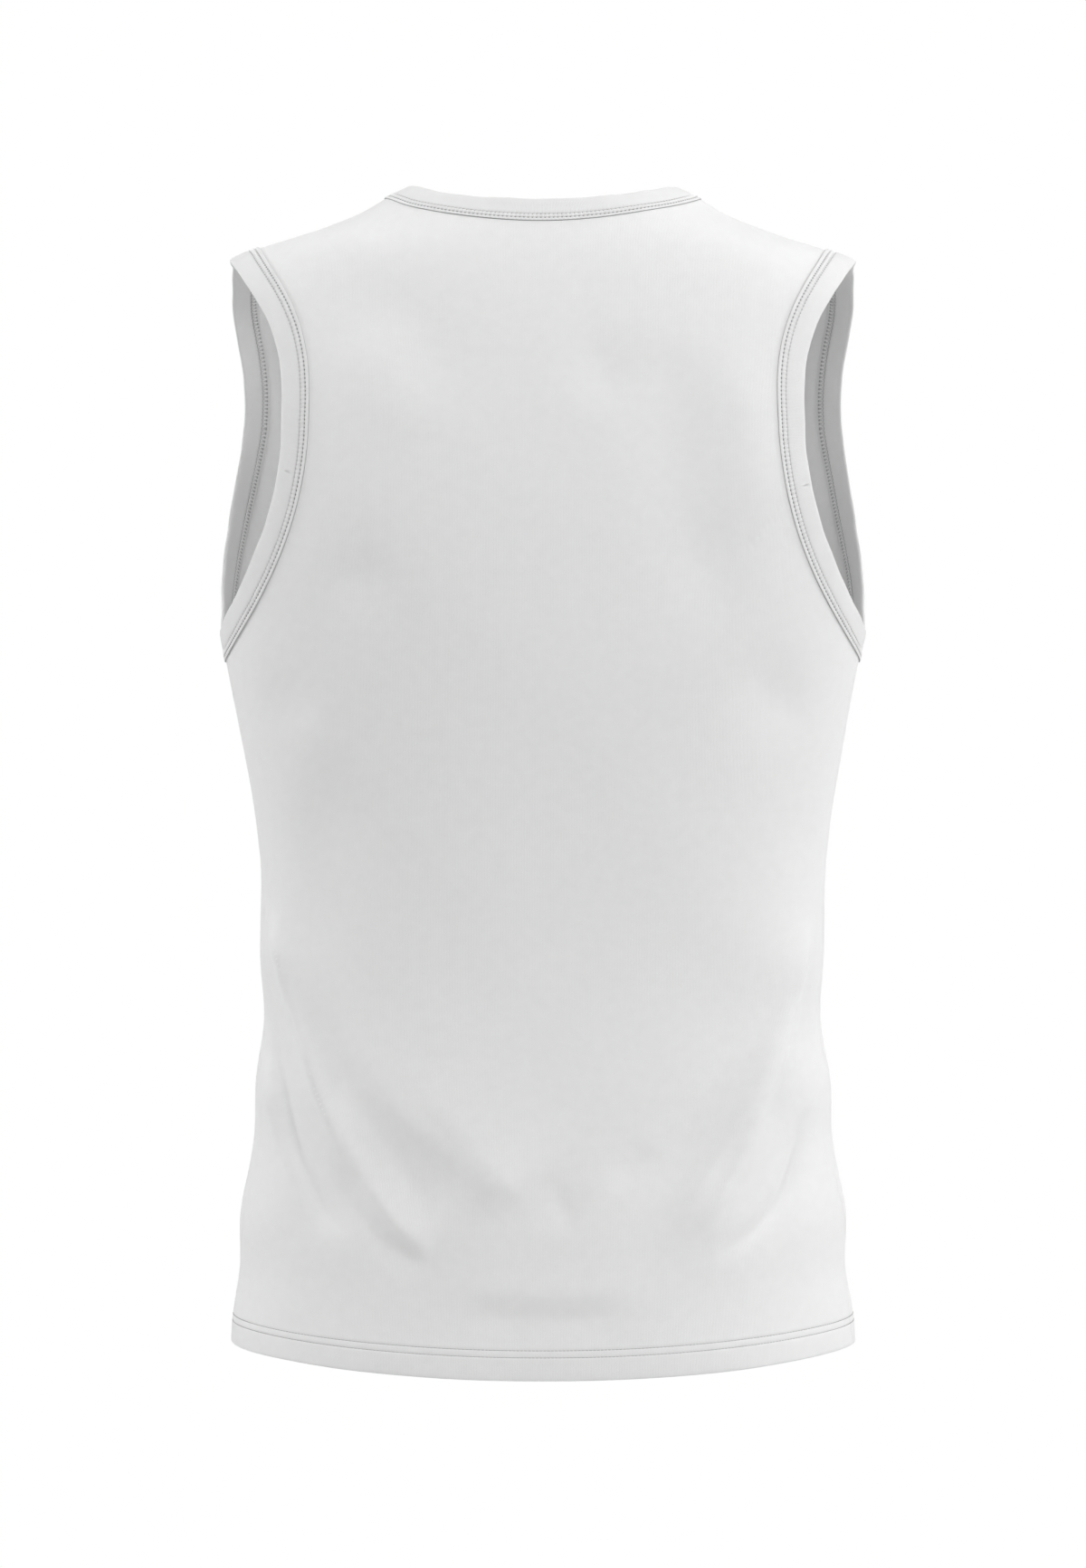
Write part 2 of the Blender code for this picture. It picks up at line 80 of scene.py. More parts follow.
# ---- cloth ----
CLOTH = 0.0008  # thickness of the knit
SEAM_GAP = 0.0003  # the two panels' edges stand this far apart at a seam
BINDING_WIDTH = 0.018
RAW_EDGE = 0.0025  # a panel's raw edge lies this far inside the binding's fold
HEM_TURN_UP = 0.018
HEM_ROLL = 0.0005  # radius of the hem's folded edge, at the middle of the cloth
PROBE = 1e-5  # step of a numerical slope

# ---- driving heights and widths, as in the CAD model ----
HEM_Z = -0.6975
HEM_DROP = {+1: 0.007, -1: 0.002}
TIP_Z = -0.0460
UNDERARM_Z = -0.269
ARMHOLE = {+1: (0.0877, -0.1515, 2.40, 2.20), -1: (0.0525, -0.1370, 2.30, 1.45)}
NECK_HALF = 0.079
NECK_DROP = {+1: (0.017, 1.4), -1: (0.115, 1.15)}
SEAM_TURN = 0.16  # the side seams hang turned to the back by this angle
SEAM_START = -0.30
SEAM_RUN = 0.10
TURN_ROUNDS = 4  # rounds in which the turn's own angle is found
# how the side seams wander about that place: amplitude, spacing in z and the height of one crest
SEAM_WANDER = {+1: (0.075, 0.090, -0.440), -1: (0.075, 0.083, -0.437)}

# in millimetres: z, half width, depth behind, depth in front; then squareness behind and in front
RINGS = (
    (6, 66, 50, 44, 2.05, 2.05),
    (0, 79, 56, 48, 2.05, 2.05),
    (-8.3, 96.6, 63, 53, 2.06, 2.05),
    (-16.5, 110.2, 70, 59, 2.08, 2.05),
    (-25, 129.5, 76, 65, 2.1, 2.05),
    (-34, 155, 83, 70, 2.12, 2.05),
    (-42.5, 181.5, 89, 75, 2.14, 2.05),
    (-55, 201, 96, 82, 2.16, 2.06),
    (-70, 211.5, 102, 88, 2.18, 2.08),
    (-90, 214.5, 108, 94, 2.22, 2.1),
    (-120, 212.5, 114, 101, 2.26, 2.1),
    (-160, 208, 118, 109, 2.28, 2.12),
    (-200, 204, 119, 113, 2.28, 2.15),
    (-235, 200.5, 117, 114, 2.26, 2.18),
    (-269, 194.5, 114, 113, 2.24, 2.2),
    (-308, 187, 109, 111, 2.24, 2.22),
    (-363, 176.8, 101, 107, 2.24, 2.24),
    (-418, 170.8, 95, 104, 2.24, 2.24),
    (-473, 170.2, 92, 102, 2.24, 2.24),
    (-505, 168.6, 93, 102, 2.22, 2.24),
    (-543, 174.2, 96, 103, 2.2, 2.22),
    (-570, 174.5, 99, 104, 2.18, 2.2),
    (-597.5, 178.8, 103, 105, 2.18, 2.2),
    (-625, 183, 107, 107, 2.18, 2.2),
    (-652, 182.8, 109, 108, 2.18, 2.18),
    (-680, 187.2, 111, 110, 2.17, 2.16),
    (-700, 188.9, 113, 111, 2.16, 2.15),
    (-710, 188.9, 113, 111, 2.16, 2.15),
)

# ---- folds ----
# Each fold runs along a line of points (x, z). Its height is the lift off the smooth form, its crest
# the radius that rounds its top, and its two widths are how far it dies away on the side towards the
# wearer's left and on the other side. The fades are the shares of its length over which its start and
# its end come up.
# in millimetres: height, crest, width left, width right; then fade at start, fade at end, line
BACK_FOLDS = (
    # the long drag folds from the waist's left side to the bottom of the back
    (7, 0.8, 16, 5, 0.28, 0.3, ((162.5, -433), (159.3, -449.5), (153.9, -468), (143.9, -501.5),
      (132.4, -537.5), (123.7, -558), (114, -581), (107, -593.5))),
    (-8.4, 3, 6, 10, 0.28, 0.5, ((160.4, -487.5), (158.8, -525), (153.9, -555), (144.2, -584.5),
      (132.4, -606), (119.5, -619), (105.8, -626.5))),
    (6, 1, 8, 12, 0.3, 0.2, ((124, -536.5), (117.2, -559), (107.8, -584.5), (91, -609.5), (76, -625),
      (62.5, -636))),
    (-3.4, 3, 7, 6, 0.35, 0.3, ((120, -585), (111, -606.5), (97, -623), (80, -635), (66, -641.5))),
    (-3.4, 6, 8, 20, 0.3, 0.25, ((136, -483), (116.6, -525), (101.4, -550.5), (85.4, -579),
      (68.4, -602.5), (56.7, -616))),
    (5, 2, 8, 7, 0.3, 0.4, ((167, -515), (162.3, -547), (153.9, -577.5), (143.6, -603.5),
      (133.5, -623.5))),
    (5.6, 6, 11, 30, 0.3, 0.2, ((125, -475), (106, -521), (84, -550), (58, -571), (32, -592),
      (16, -609.5))),
    (3, 3, 8, 20, 0.4, 0.35, ((80, -515), (52.6, -557.9), (21, -593.9), (6, -608))),
    (-3, 4, 6, 6, 0.5, 0.45, ((-4, -585), (-11, -606), (-16.8, -624))),
    # those from the waist's right side
    (5.8, 2.4, 7, 20, 0.3, 0.3, ((-145.8, -481), (-137.8, -507.5), (-127.7, -529.5), (-116.6, -552.5),
      (-105.8, -571.5), (-91.2, -594), (-77.8, -615), (-58.8, -633.5))),
    (-4, 6, 20, 6, 0.5, 0.3, ((-150, -450), (-138, -485), (-118, -526), (-97, -560), (-76, -587),
      (-54, -609))),
    (4.6, 0.8, 12, 3, 0.2, 0.35, ((-162, -433.5), (-154.9, -464.5), (-146.3, -494.5), (-138.6, -521),
      (-131.1, -539), (-121.6, -558), (-112.4, -575.5), (-97.7, -593))),
    (3.4, 1, 4, 12, 0.35, 0.4, ((-132.2, -547), (-123.2, -565.5), (-109.2, -589), (-93.3, -612),
      (-81.5, -623.5))),
    (-6, 2.4, 5, 5, 0.4, 0.55, ((-156.6, -549.5), (-152.3, -568), (-146.3, -591), (-138.8, -606.5),
      (-125.6, -621.5), (-107.1, -633), (-95, -636.5))),
    (-2.4, 4, 7, 6, 0.4, 0.45, ((-64.3, -569), (-53, -584), (-38, -599))),
    # the roll over the hem
    (-2.2, 6, 6, 6, 0.35, 0.35, ((56, -667), (0, -671), (-64, -667))),
    (2.2, 6, 8, 8, 0.35, 0.35, ((64, -652), (0, -656), (-70, -652))),
    # the flare of the hem
    (4.2, 20, 30, 30, 0.25, 0.25, ((170, -698.5), (100, -702), (0, -704), (-100, -702), (-170, -698.5))),
    # the shoulders and the shoulder blades
    (-5.6, 20, 18, 18, 0.3, 0.45, ((146, -68), (93, -83), (61, -120), (42, -162))),
    (3.6, 18, 14, 14, 0.45, 0.45, ((110, -90), (88.9, -127.7), (76, -175))),
    (-3.4, 10, 10, 10, 0.45, 0.45, ((-22, -90), (-34, -120), (-42, -152))),
    (-4.4, 16, 14, 14, 0.45, 0.4, ((-70, -100), (-73.1, -128), (-83.5, -201.3), (-99.5, -242.6),
      (-125, -256))),
    (3.6, 18, 14, 14, 0.4, 0.4, ((-108, -95), (-118, -160), (-129, -230))),
    # under the arms and down the left of the back
    (-2.8, 14, 14, 14, 0.5, 0.4, ((-105, -290), (-135, -308), (-165, -335))),
    (-3, 12, 14, 14, 0.5, 0.5, ((135, -240), (105, -243), (75, -240))),
    (-2.2, 12, 12, 12, 0.5, 0.5, ((170, -298), (150, -313), (125, -325))),
    (-3, 16, 14, 14, 0.4, 0.4, ((134, -325), (127.8, -405.7), (115, -500))),
)
FRONT_FOLDS = (
    (6, 1.6, 8, 18, 0.3, 0.3, ((164, -445), (148, -505), (122, -565), (88, -608), (50, -633))),
    (-5.6, 8, 9, 8, 0.35, 0.35, ((166, -490), (156, -540), (132, -588), (98, -622), (64, -640))),
    (3.2, 3, 8, 7, 0.4, 0.4, ((170, -535), (159, -580), (138, -615), (112, -637))),
    (-4.4, 12, 12, 12, 0.4, 0.35, ((124, -470), (100, -535), (64, -585), (24, -614))),
    (5.6, 1.6, 18, 8, 0.3, 0.35, ((-164, -425), (-150, -490), (-125, -550), (-90, -598), (-56, -626))),
    (-6, 8, 8, 10, 0.35, 0.35, ((-166, -470), (-157, -525), (-134, -576), (-101, -613), (-65, -637))),
    (3.2, 3, 7, 8, 0.4, 0.4, ((-169, -530), (-160, -570), (-142, -606), (-118, -631))),
    (-3.6, 10, 11, 11, 0.45, 0.4, ((-115, -490), (-90, -545), (-56, -587), (-18, -609))),
    (-2, 7, 6, 6, 0.35, 0.35, ((60, -656), (5, -660), (-54, -657))),
    (-3.6, 14, 13, 13, 0.4, 0.4, ((125, -75), (105, -135), (68, -185))),
    (-3.6, 14, 13, 13, 0.4, 0.4, ((-122, -70), (-108, -130), (-78, -190))),
    (-3.2, 8, 10, 10, 0.5, 0.4, ((135, -275), (152, -305), (170, -340))),
    (-3.6, 8, 10, 10, 0.5, 0.4, ((-128, -268), (-148, -300), (-170, -338))),
)
FOLD_STEPS = 8  # straight steps between two points of a fold's line
FOLD_REACH = 6  # a fold is followed out to this many of its widths

# slow unevenness of the cloth: amplitude, waves round the body, wavelength up it, two phases
DRIFT = (
    (0.00055, 4, 0.310, 0.6, 1.9),
    (0.00040, 7, 0.170, 2.4, 0.3),
    (0.00016, 13, 0.094, 4.0, 5.1),
)

# ---- grid ----
DENSE = 4000  # points of a line that is resampled
HEM_POINTS = 2000
HEM_STEPS = 1000
ARC_COLUMNS, ARC_ROWS = 721, 181  # of the table of distances round the rings
SIDE_ROWS = 138
# heights over the hem's edge of the rows that lie close together there
HEM_HEIGHTS = metres((
    0.5, 1.8, 3.6, 5.6, 7.8, 9.8, 11, 11.7, 12.2, 12.6, 13, 13.5, 14.2, 15.1, 15.7, 16.1, 16.5, 16.9,
    17.4, 18.2, 19.4, 21.5,
))
HEM_ROWS = len(HEM_HEIGHTS) - 1
HEM_FALL = 3  # how fast the rows above it level out
ROLL_STEPS = 6
TURN_ROWS = 8
STRAP_COLUMNS = 48
STRAP_ROWS = {+1: 32, -1: 40}
ARMHOLE_STATIONS = {+1: 128, -1: 112}
NECK_STATIONS = {+1: 112, -1: 144}
TOP_PULL = 2  # how late the rows take the spacing of the line under the neck
MIDDLE_PULL = 0.8  # how soon a row leaves the side's spacing for even steps
SEAM_COLUMNS = (0.0005, 0.0012, 0.0026)  # extra columns this far from a seam
BORDER_LEVELS = (RAW_EDGE, 0.0060, 0.0100, 0.0140, BINDING_WIDTH)
GROOVE_DEPTH = 0.00050  # a seam's groove
GROOVE_WIDTH = 0.00090

# ---- stitches ----
STITCH = 0.0022  # pitch
STITCH_STATIONS = 3
THREAD = 0.00020  # radius
COVER_THREAD = 0.00014
BINDING_ROWS = (0.0126, 0.0157)  # a binding's two rows, measured in from its fold
HEM_STITCHES = (0.0126, 0.0165)  # the hem's two rows, measured up from its edge
ROW_SINK = 0.00032  # how deep a row draws the cloth in
ROW_SINK_WIDTH = 0.00045

# section of a binding in millimetres, from its free edge outside over the fold to its free edge
# inside and back through its hollow: distance in from the fold, offset from the panel's middle,
# and how much of the stitches' puckering it takes
BINDING_SECTION = (
    (17.9, 0.46, 0), (18.22, 0.62, 0.2), (18.28, 0.98, 0.5), (18.08, 1.3, 0.8), (17.6, 1.46, 1),
    (17.05, 1.46, 1), (16.5, 1.32, 1), (16.05, 1.06, 1.2), (15.7, 0.84, 2), (15.35, 1.06, 1.2),
    (14.85, 1.28, 1), (14.15, 1.38, 1), (13.45, 1.28, 1), (12.95, 1.06, 1.2), (12.6, 0.84, 2),
    (12.25, 1.04, 1.2), (11.6, 1.24, 0.8), (10.4, 1.32, 0.4), (8.5, 1.36, 0.1), (6.4, 1.38, 0),
    (4.4, 1.38, 0), (2.9, 1.36, 0), (1.6, 1.3, 0), (0.72, 1.04, 0), (0.18, 0.58, 0), (0, 0, 0),
    (0.18, -0.58, 0), (0.72, -1.02, 0), (1.6, -1.24, 0), (3.2, -1.28, 0), (7, -1.28, 0), (10.6, -1.26, 0),
    (12.1, -1.2, -0.2), (12.6, -0.92, 0), (13.1, -1.16, -0.4), (14.15, -1.2, -0.8), (15.2, -1.16, -0.4),
    (15.7, -0.92, 0), (16.2, -1.18, -0.4), (17.1, -1.24, -0.4), (17.8, -1.12, -0.2), (18.05, -0.8, 0),
    (18, -0.47, 0), (12, -0.47, 0), (6, -0.47, 0), (2.6, -0.47, 0), (1.9, -0.34, 0), (1.65, 0, 0),
    (1.9, 0.34, 0), (2.6, 0.47, 0), (6, 0.47, 0), (12, 0.47, 0),
)
PUCKER = 0.00013  # amplitude of the binding's puckers, one to a stitch
BINDING_SWAY = 0.00035  # how far a binding's fold leans in and out along its run
BINDING_SWAYS = ((7, 0.4), (13, 2.2), (23, 4.1))  # waves round the loop, phase
# in millimetres: offsets of the cloth under a binding's rows and between them outside and inside
BINDING_ROW_TOP = 0.88
TOP_OUTSIDE = 1.32
TOP_INSIDE = -1.20
THREAD_RIDE = 0.10  # and how far a thread's middle stands off it
LOOPER_THREAD = 0.00034  # radius
# a stitch: shares of its pitch, how deep it lies there and how thick it is
STITCH_SHARES = (0.04, 0.16, 0.38, 0.62, 0.84, 0.96)
STITCH_DIPS = (-0.00030, 0.0, 0.00008, 0.00008, 0.0, -0.00030)
STITCH_TAPER = (0.7, 1.0, 1.0, 1.0, 1.0, 0.7)
ZIGZAG_LEAN = 0.4  # how far a zigzag's swings lean along the row, in stations
ZIGZAG_ARCH = 0.00008

# ---- seam allowances ----
# layers, outermost first: offset of the outer and the inner face, width from the seam
ALLOWANCE_LAYERS = ((-0.00047, -0.00100, 0.0063), (-0.00106, -0.00160, 0.0065))
ALLOWANCE_SHARES = (0.06, 0.25, 0.5, 0.75, 1.0)  # shares of the width at which there are points
ALLOWANCE_WAVE = 0.00012
ALLOWANCE_WAVELENGTH = 0.012
OVERLOCK_LINES = (0.0016, 0.0063, 0.0068)  # needle row, loops' far ends, edge
SIDE_ALLOWANCE = (-0.6785, -0.2880)  # heights of the bottom and the top
SHOULDER_ALLOWANCE = (-0.0350, -0.0110)

# ---- flat cut ----
BACK_AREA = 0.310
FRONT_AREA = 0.290

# ---- looks ----
KNIT_GREY = 0.86
# painted light: the cloth's inside is a lighter grey than its face, to brighten the hollow seen through
# the armholes
REVERSE_PAINTED_LIGHT_GREY = 0.92
BINDING_GREY = 0.82
THREAD_GREY = 0.93
NEEDLE_ROW_PAINTED_SHADE_GREY = 0.62  # painted shade: needle rows are greyed for the shade of their own grooves
# painted shade: the hem's needle rows are darker still, for the shade of their grooves
HEM_NEEDLE_ROW_PAINTED_SHADE_GREY = 0.42
# painted shade where a stitch's ends go down into their needle holes
HOLE_PAINTED_SHADE_GREY = 0.10
HOLE_SHARES = (0.12, 0.26)  # shares of a stitch over which its colour turns from the hole's painted shade
HOLE_SHADE = 0.55  # painted shade: share of the colour left at a needle hole of a binding
HOLE_REACH = (0.0002, 0.0007)
BED_SHADE = 0.84  # and painted shade between the two rows inside, where the loops shade the cloth
EDGE_SHADE = 0.50  # and painted contact shadow on the face of a binding's free edge
EDGE_REACH = (0.0181, 0.01822)
MOTTLING = 0.012
MOTTLE_SHARES = (0.3, 0.7)
MOTTLE_SCALE = 140.0
WOBBLE = 0.8  # share of a loop by which the loops wander
WOBBLE_SCALE = 300.0
FUZZ_SCALE = 2500.0
FUZZ_SHARE = 1.2  # weights in the bump, where the rows of loops weigh 1
LOOP_COLUMNS = 0.8
LOOP_SLANT = 1.6
PURL_COLUMNS = 0.3
PURL_CURVE = 0.3
THREAD_FUZZ_SCALE = 6000.0
PANEL_LOOP = (0.00080, 0.00060)  # a loop's width and height
BINDING_LOOP = (0.00075, 0.00070)
KNIT_DEPTH = 0.00012
KNIT_STRENGTH = 0.35
KNIT_ROUGHNESS = 0.9
KNIT_SPECULAR = 0.25
SHEEN = 0.25
SHEEN_ROUGHNESS = 0.5

# ---- view and light ----
VIEW_DISTANCE = 2.2
VIEW_HEIGHT = 0.95315  # height that the frame shows at y = 0
VIEW_Z = -0.361
SENSOR = 36.0  # millimetres, as the lens
SKY_BEHIND = 0.38  # the sky as a light, behind the garment and on the camera's side
SKY_FRONT = 0.02
SKY_BLEND = 0.15
LIGHT_DISTANCE = 4.5
LIGHT_SIZE = 1.9
LIGHT_TARGET = (0, 0, -0.35)
# name, degrees from the camera's side towards the right of its view, degrees up, watts
LIGHTS = (
    ("key_left", -25, 45, 82),
    ("key_right", 20, 45, 56),
    ("fill_right", 65, 25, 50),
    ("rim_right", 105, 25, 90),
    ("rim_left", -105, 25, 88),
)
FLOOR_Z = -1.45  # about where a wearer's feet would be
FLOOR_SIZE = 14.0
FLOOR_COLOUR = (0.8, 0.8, 0.8, 1)
WHITE = (1, 1, 1, 1)
FLOOR_NEAR, FLOOR_FAR = 0.7, 1.3  # it turns white between these distances


# ---- curves and rings ----
def unit(vectors):
    return vectors / np.linalg.norm(vectors, axis=-1, keepdims=True)


def distances(points):
    """Distance run along a line of points, at each of them."""
    return np.r_[0, np.cumsum(np.linalg.norm(np.diff(points, axis=0), axis=1))]


def spline_bends(x, y):
    """Second derivatives of the natural cubic spline through the columns of y."""
    step = np.diff(x)
    matrix, right = np.eye(len(x)), np.zeros_like(y)
    for i in range(1, len(x) - 1):
        matrix[i, i - 1:i + 2] = step[i - 1], 2 * (step[i - 1] + step[i]), step[i]
    right[1:-1] = 6 * np.diff(np.diff(y, axis=0) / step[:, None], axis=0)
    return np.linalg.solve(matrix, right)


RING_TABLE = np.array(RINGS)[::-1]
RING_Z = metres(RING_TABLE[:, 0])
RING_ROWS = np.hstack([metres(RING_TABLE[:, 1:4]), RING_TABLE[:, 4:]])
RING_BENDS = spline_bends(RING_Z, RING_ROWS)


def ring(z):
    """Half width, depths and squareness at the heights z, on a smooth curve through the rows."""
    z = np.clip(np.asarray(z, float), RING_Z[0], RING_Z[-1])
    i = np.clip(np.searchsorted(RING_Z, z) - 1, 0, len(RING_Z) - 2)
    h = (RING_Z[i + 1] - RING_Z[i])[..., None]
    a = (RING_Z[i + 1] - z)[..., None] / h
    b = 1 - a
    bend = (a ** 3 - a) * RING_BENDS[i] + (b ** 3 - b) * RING_BENDS[i + 1]
    return np.moveaxis(a * RING_ROWS[i] + b * RING_ROWS[i + 1] + bend * h * h / 6, -1, 0)


def smooth_step(t):
    t = np.clip(t, 0, 1)
    return t * t * (3 - 2 * t)


def seam_turn(phi, z):
    """The angle by which a point is turned towards the back, the seams' wander included."""
    cos = np.cos(phi)
    turn = SEAM_TURN
    for side, (amount, spacing, crest) in SEAM_WANDER.items():
        wave = amount * np.abs(cos) * np.cos(2 * np.pi * (z - crest) / spacing)
        turn = turn + np.where(cos * side > 0, wave, 0)
    return turn * smooth_step((SEAM_START - z) / SEAM_RUN) * cos


def figure(phi, z):
    """Points of the smooth form at the angles phi and heights z."""
    half, back, front, square_back, square_front = ring(z)
    phi = phi + seam_turn(phi, z)
    behind = np.sin(phi) >= 0
    depth = np.where(behind, back, front)
    n = np.where(behind, square_back, square_front)
    cos, sin = np.cos(phi), np.sin(phi)
    reach = (np.abs(cos) ** n + np.abs(sin) ** n) ** (-1 / n)
    return np.stack([half * reach * cos, depth * reach * sin, z + 0 * reach], -1)


def angle_at_width(x, z, side):
    """The angle at which the ring at z has the x given, behind (+1) or in front (-1)."""
    half, _, _, square_back, square_front = ring(z)
    n = square_back if side > 0 else square_front
    share = np.clip(np.abs(x) / half, 1e-6, 1.0) ** n
    steep = np.arctan2(np.clip(1 - share, 0, 1) ** (1 / n), share ** (1 / n))
    angle = side * np.where(np.asarray(x) >= 0, steep, np.pi - steep)
    turned = angle
    for _ in range(TURN_ROUNDS):
        turned = angle - seam_turn(turned, z)
    return turned


def angle_at_depth(y, z):
    """The angle, on the left half, at which the ring at z has the y given."""
    _, back, front, square_back, square_front = ring(z)
    depth = np.where(y >= 0, back, front)
    n = np.where(y >= 0, square_back, square_front)
    share = np.clip(np.abs(y) / depth, 0.0, 1.0) ** n
    return np.sign(y) * np.arctan2(share ** (1 / n), (1 - share) ** (1 / n))


def smooth_line(points):
    """A smooth curve through the points."""
    p = np.vstack([2 * points[0] - points[1], points, 2 * points[-1] - points[-2]])
    t = np.linspace(0, 1, FOLD_STEPS, endpoint=False)[:, None]
    a, b, c, d = (p[k:len(p) - 3 + k, None] for k in range(4))
    curve = b + 0.5 * t * (c - a + t * (2 * a - 5 * b + 4 * c - d + t * (3 * (b - c) + d - a)))
    return np.vstack([curve.reshape(-1, 2), p[-2]])


def fold_paths():
    """Each fold's sizes in metres, its fades and its line of points on the form."""
    for side, rows in ((+1, BACK_FOLDS), (-1, FRONT_FOLDS)):
        for *sizes, fade_in, fade_out, line in rows:
            x, z = smooth_line(metres(line)).T
            yield metres(sizes), fade_in, fade_out, figure(angle_at_width(x, z, side), z)


FOLD_PATHS = tuple(fold_paths())


def fold_height(points):
    """How far the folds lift the cloth off the smooth form at the points."""
    flat = points.reshape(-1, 3)
    total = np.zeros(len(flat))
    for (height, crest, width_left, width_right), fade_in, fade_out, path in FOLD_PATHS:
        margin = FOLD_REACH * max(width_left, width_right) + crest
        near = np.all((flat > path.min(0) - margin) & (flat < path.max(0) + margin), axis=1)
        start, run = path[:-1], np.diff(path, axis=0)
        offset = flat[near][:, None, :] - start
        t = np.clip((offset * run).sum(-1) / (run * run).sum(-1), 0, 1)
        gap = offset - t[..., None] * run
        distance = np.linalg.norm(gap, axis=-1)
        nearest = distance.argmin(-1)
        pick = np.arange(len(nearest)), nearest
        along = (nearest + t[pick]) / len(run)
        leftward = np.cross(run, (0, 1, 0))[nearest]
        width = np.where((gap[pick] * leftward).sum(-1) > 0, width_left, width_right)
        fade = smooth_step(along / fade_in) * smooth_step((1 - along) / fade_out)
        total[near] += height * fade * np.exp(-(np.hypot(distance[pick], crest) - crest) / width)
    return total.reshape(points.shape[:-1])


def drift(phi, z):
    """The cloth's slow unevenness."""
    total = 0 * phi
    for amount, waves, wavelength, phase_round, phase_up in DRIFT:
        total = total + amount * (np.sin(waves * phi + phase_round)
                                  * np.sin(2 * np.pi * z / wavelength + phase_up))
    return total


def slopes(surface, phi, z):
    """Slopes of a surface with phi and z, and its outward normal."""
    by_phi = (surface(phi + PROBE, z) - surface(phi - PROBE, z)) / (2 * PROBE)
    by_z = (surface(phi, z + PROBE) - surface(phi, z - PROBE)) / (2 * PROBE)
    return by_phi, by_z, unit(np.cross(by_phi, by_z))


def cloth(phi, z):
    """Points of the cloth's middle layer, folds and all."""
    points = figure(phi, z)
    normal = slopes(figure, phi, z)[2]
    return points + (fold_height(points) + drift(phi, z))[..., None] * normal


ARC_PHI = np.linspace(-np.pi, np.pi, ARC_COLUMNS)
ARC_Z = np.linspace(RING_Z[0], RING_Z[-1], ARC_ROWS)
_arc_points = figure(ARC_PHI[None, :], ARC_Z[:, None] + 0 * ARC_PHI)
_arc_steps = np.linalg.norm(np.diff(_arc_points, axis=1), axis=-1)
ARC_LENGTH = np.hstack([np.zeros((len(ARC_Z), 1)), np.cumsum(_arc_steps, axis=1)])


def arc(phi, z):
    """Distance round the ring at z from the centre front or back to the angle phi."""
    def read(angle):
        row = np.clip((z - ARC_Z[0]) / (ARC_Z[1] - ARC_Z[0]), 0, len(ARC_Z) - 1.001)
        column = np.clip((angle - ARC_PHI[0]) / (ARC_PHI[1] - ARC_PHI[0]), 0, len(ARC_PHI) - 1.001)
        i, j = row.astype(int), column.astype(int)
        a, b = row - i, column - j
        low = ARC_LENGTH[i, j] * (1 - b) + ARC_LENGTH[i, j + 1] * b
        high = ARC_LENGTH[i + 1, j] * (1 - b) + ARC_LENGTH[i + 1, j + 1] * b
        return low * (1 - a) + high * a
    centre = np.where(phi.mean() >= 0, np.pi / 2, -np.pi / 2) + 0 * phi
    return read(phi) - read(centre)


# ---- edges ----
def even_steps(phi, z, intervals):
    """Resample a dense line of the form so that its points lie evenly along it."""
    run = distances(figure(phi, z))
    at = np.linspace(0, run[-1], intervals + 1)
    return np.interp(at, run, phi), np.interp(at, run, z)


def line_length(phi, z):
    return distances(figure(phi, z))[-1]


def armhole_fold(side):
    """Half the left armhole's fold as a dense line, from the underarm up to the shoulder."""
    depth, deepest_z, round_above, round_below = ARMHOLE[side]
    turn = np.linspace(0, np.pi, DENSE)
    below = turn < np.pi / 2
    roundness = np.where(below, round_below, round_above)
    reach = np.where(below, deepest_z - UNDERARM_Z, TIP_Z - deepest_z)
    z = deepest_z - reach * np.sign(np.cos(turn)) * np.abs(np.cos(turn)) ** (2 / roundness)
    y = side * depth * np.sin(turn) ** (2 / roundness)
    return angle_at_depth(y, z), z


def neck_fold(side):
    """The back or front neck's fold as a dense line, from the left shoulder to the right."""
    turn = np.linspace(0, np.pi, DENSE)
    drop, power = NECK_DROP[side]
    z = -drop * np.sin(turn) ** power
    return angle_at_width(NECK_HALF * np.cos(turn), z, side), z


def step_inward(phi, z, inward, distance, steps=6):
    """Walk from an edge over the form, square to the edge, by the distance given.

    inward is +1 where the cloth lies on the left of the edge as it runs, seen from outside.
    Ends that start on a seam stay on it.
    """
    phi, z = phi.copy(), z.copy()
    on_seam = np.isclose(np.sin(phi), 0, atol=1e-9)
    along = np.gradient(figure(phi, z), axis=0)
    _, by_z, normal = slopes(figure, phi, z)
    across = inward * np.cross(normal, along)
    seam_way = by_z * np.sign((across * by_z).sum(-1, keepdims=True))
    across = unit(np.where(on_seam[:, None], seam_way, across))
    for _ in range(steps):
        by_phi, by_z, normal = slopes(figure, phi, z)
        across = unit(across - (across * normal).sum(-1, keepdims=True) * normal)
        e, f, g = (by_phi * by_phi).sum(-1), (by_phi * by_z).sum(-1), (by_z * by_z).sum(-1)
        p, q = (across * by_phi).sum(-1), (across * by_z).sum(-1)
        area = e * g - f * f
        phi = phi + np.where(on_seam, 0, (g * p - f * q) / area * distance / steps)
        z = z + np.where(on_seam, q / g, (e * q - f * p) / area) * distance / steps
    return phi, z


def edge_levels(dense, side, stations, end_phi):
    """A fold line at a panel's own stations, walked inward to each border level."""
    phi, z = even_steps(*dense, stations)
    phi[0], phi[-1] = 0.0, end_phi
    return [step_inward(phi, z, -side, level) for level in BORDER_LEVELS]


def mirrored(line, side):
    phi, z = line
    return side * np.pi - phi, z


def hem_ring(side):
    """Half the ring at the hem as a dense line, from the left side to the right."""
    return side * np.linspace(0, np.pi, HEM_POINTS), np.full(HEM_POINTS, HEM_Z)


def hem_line(phi, side):
    return HEM_Z - HEM_DROP[side] * np.sin(phi) ** 2


# ---- meshes ----
def link(name, data):
    """A new object of the data, in the scene."""
    obj = bpy.data.objects.new(name, data)
    bpy.context.scene.collection.objects.link(obj)
    return obj


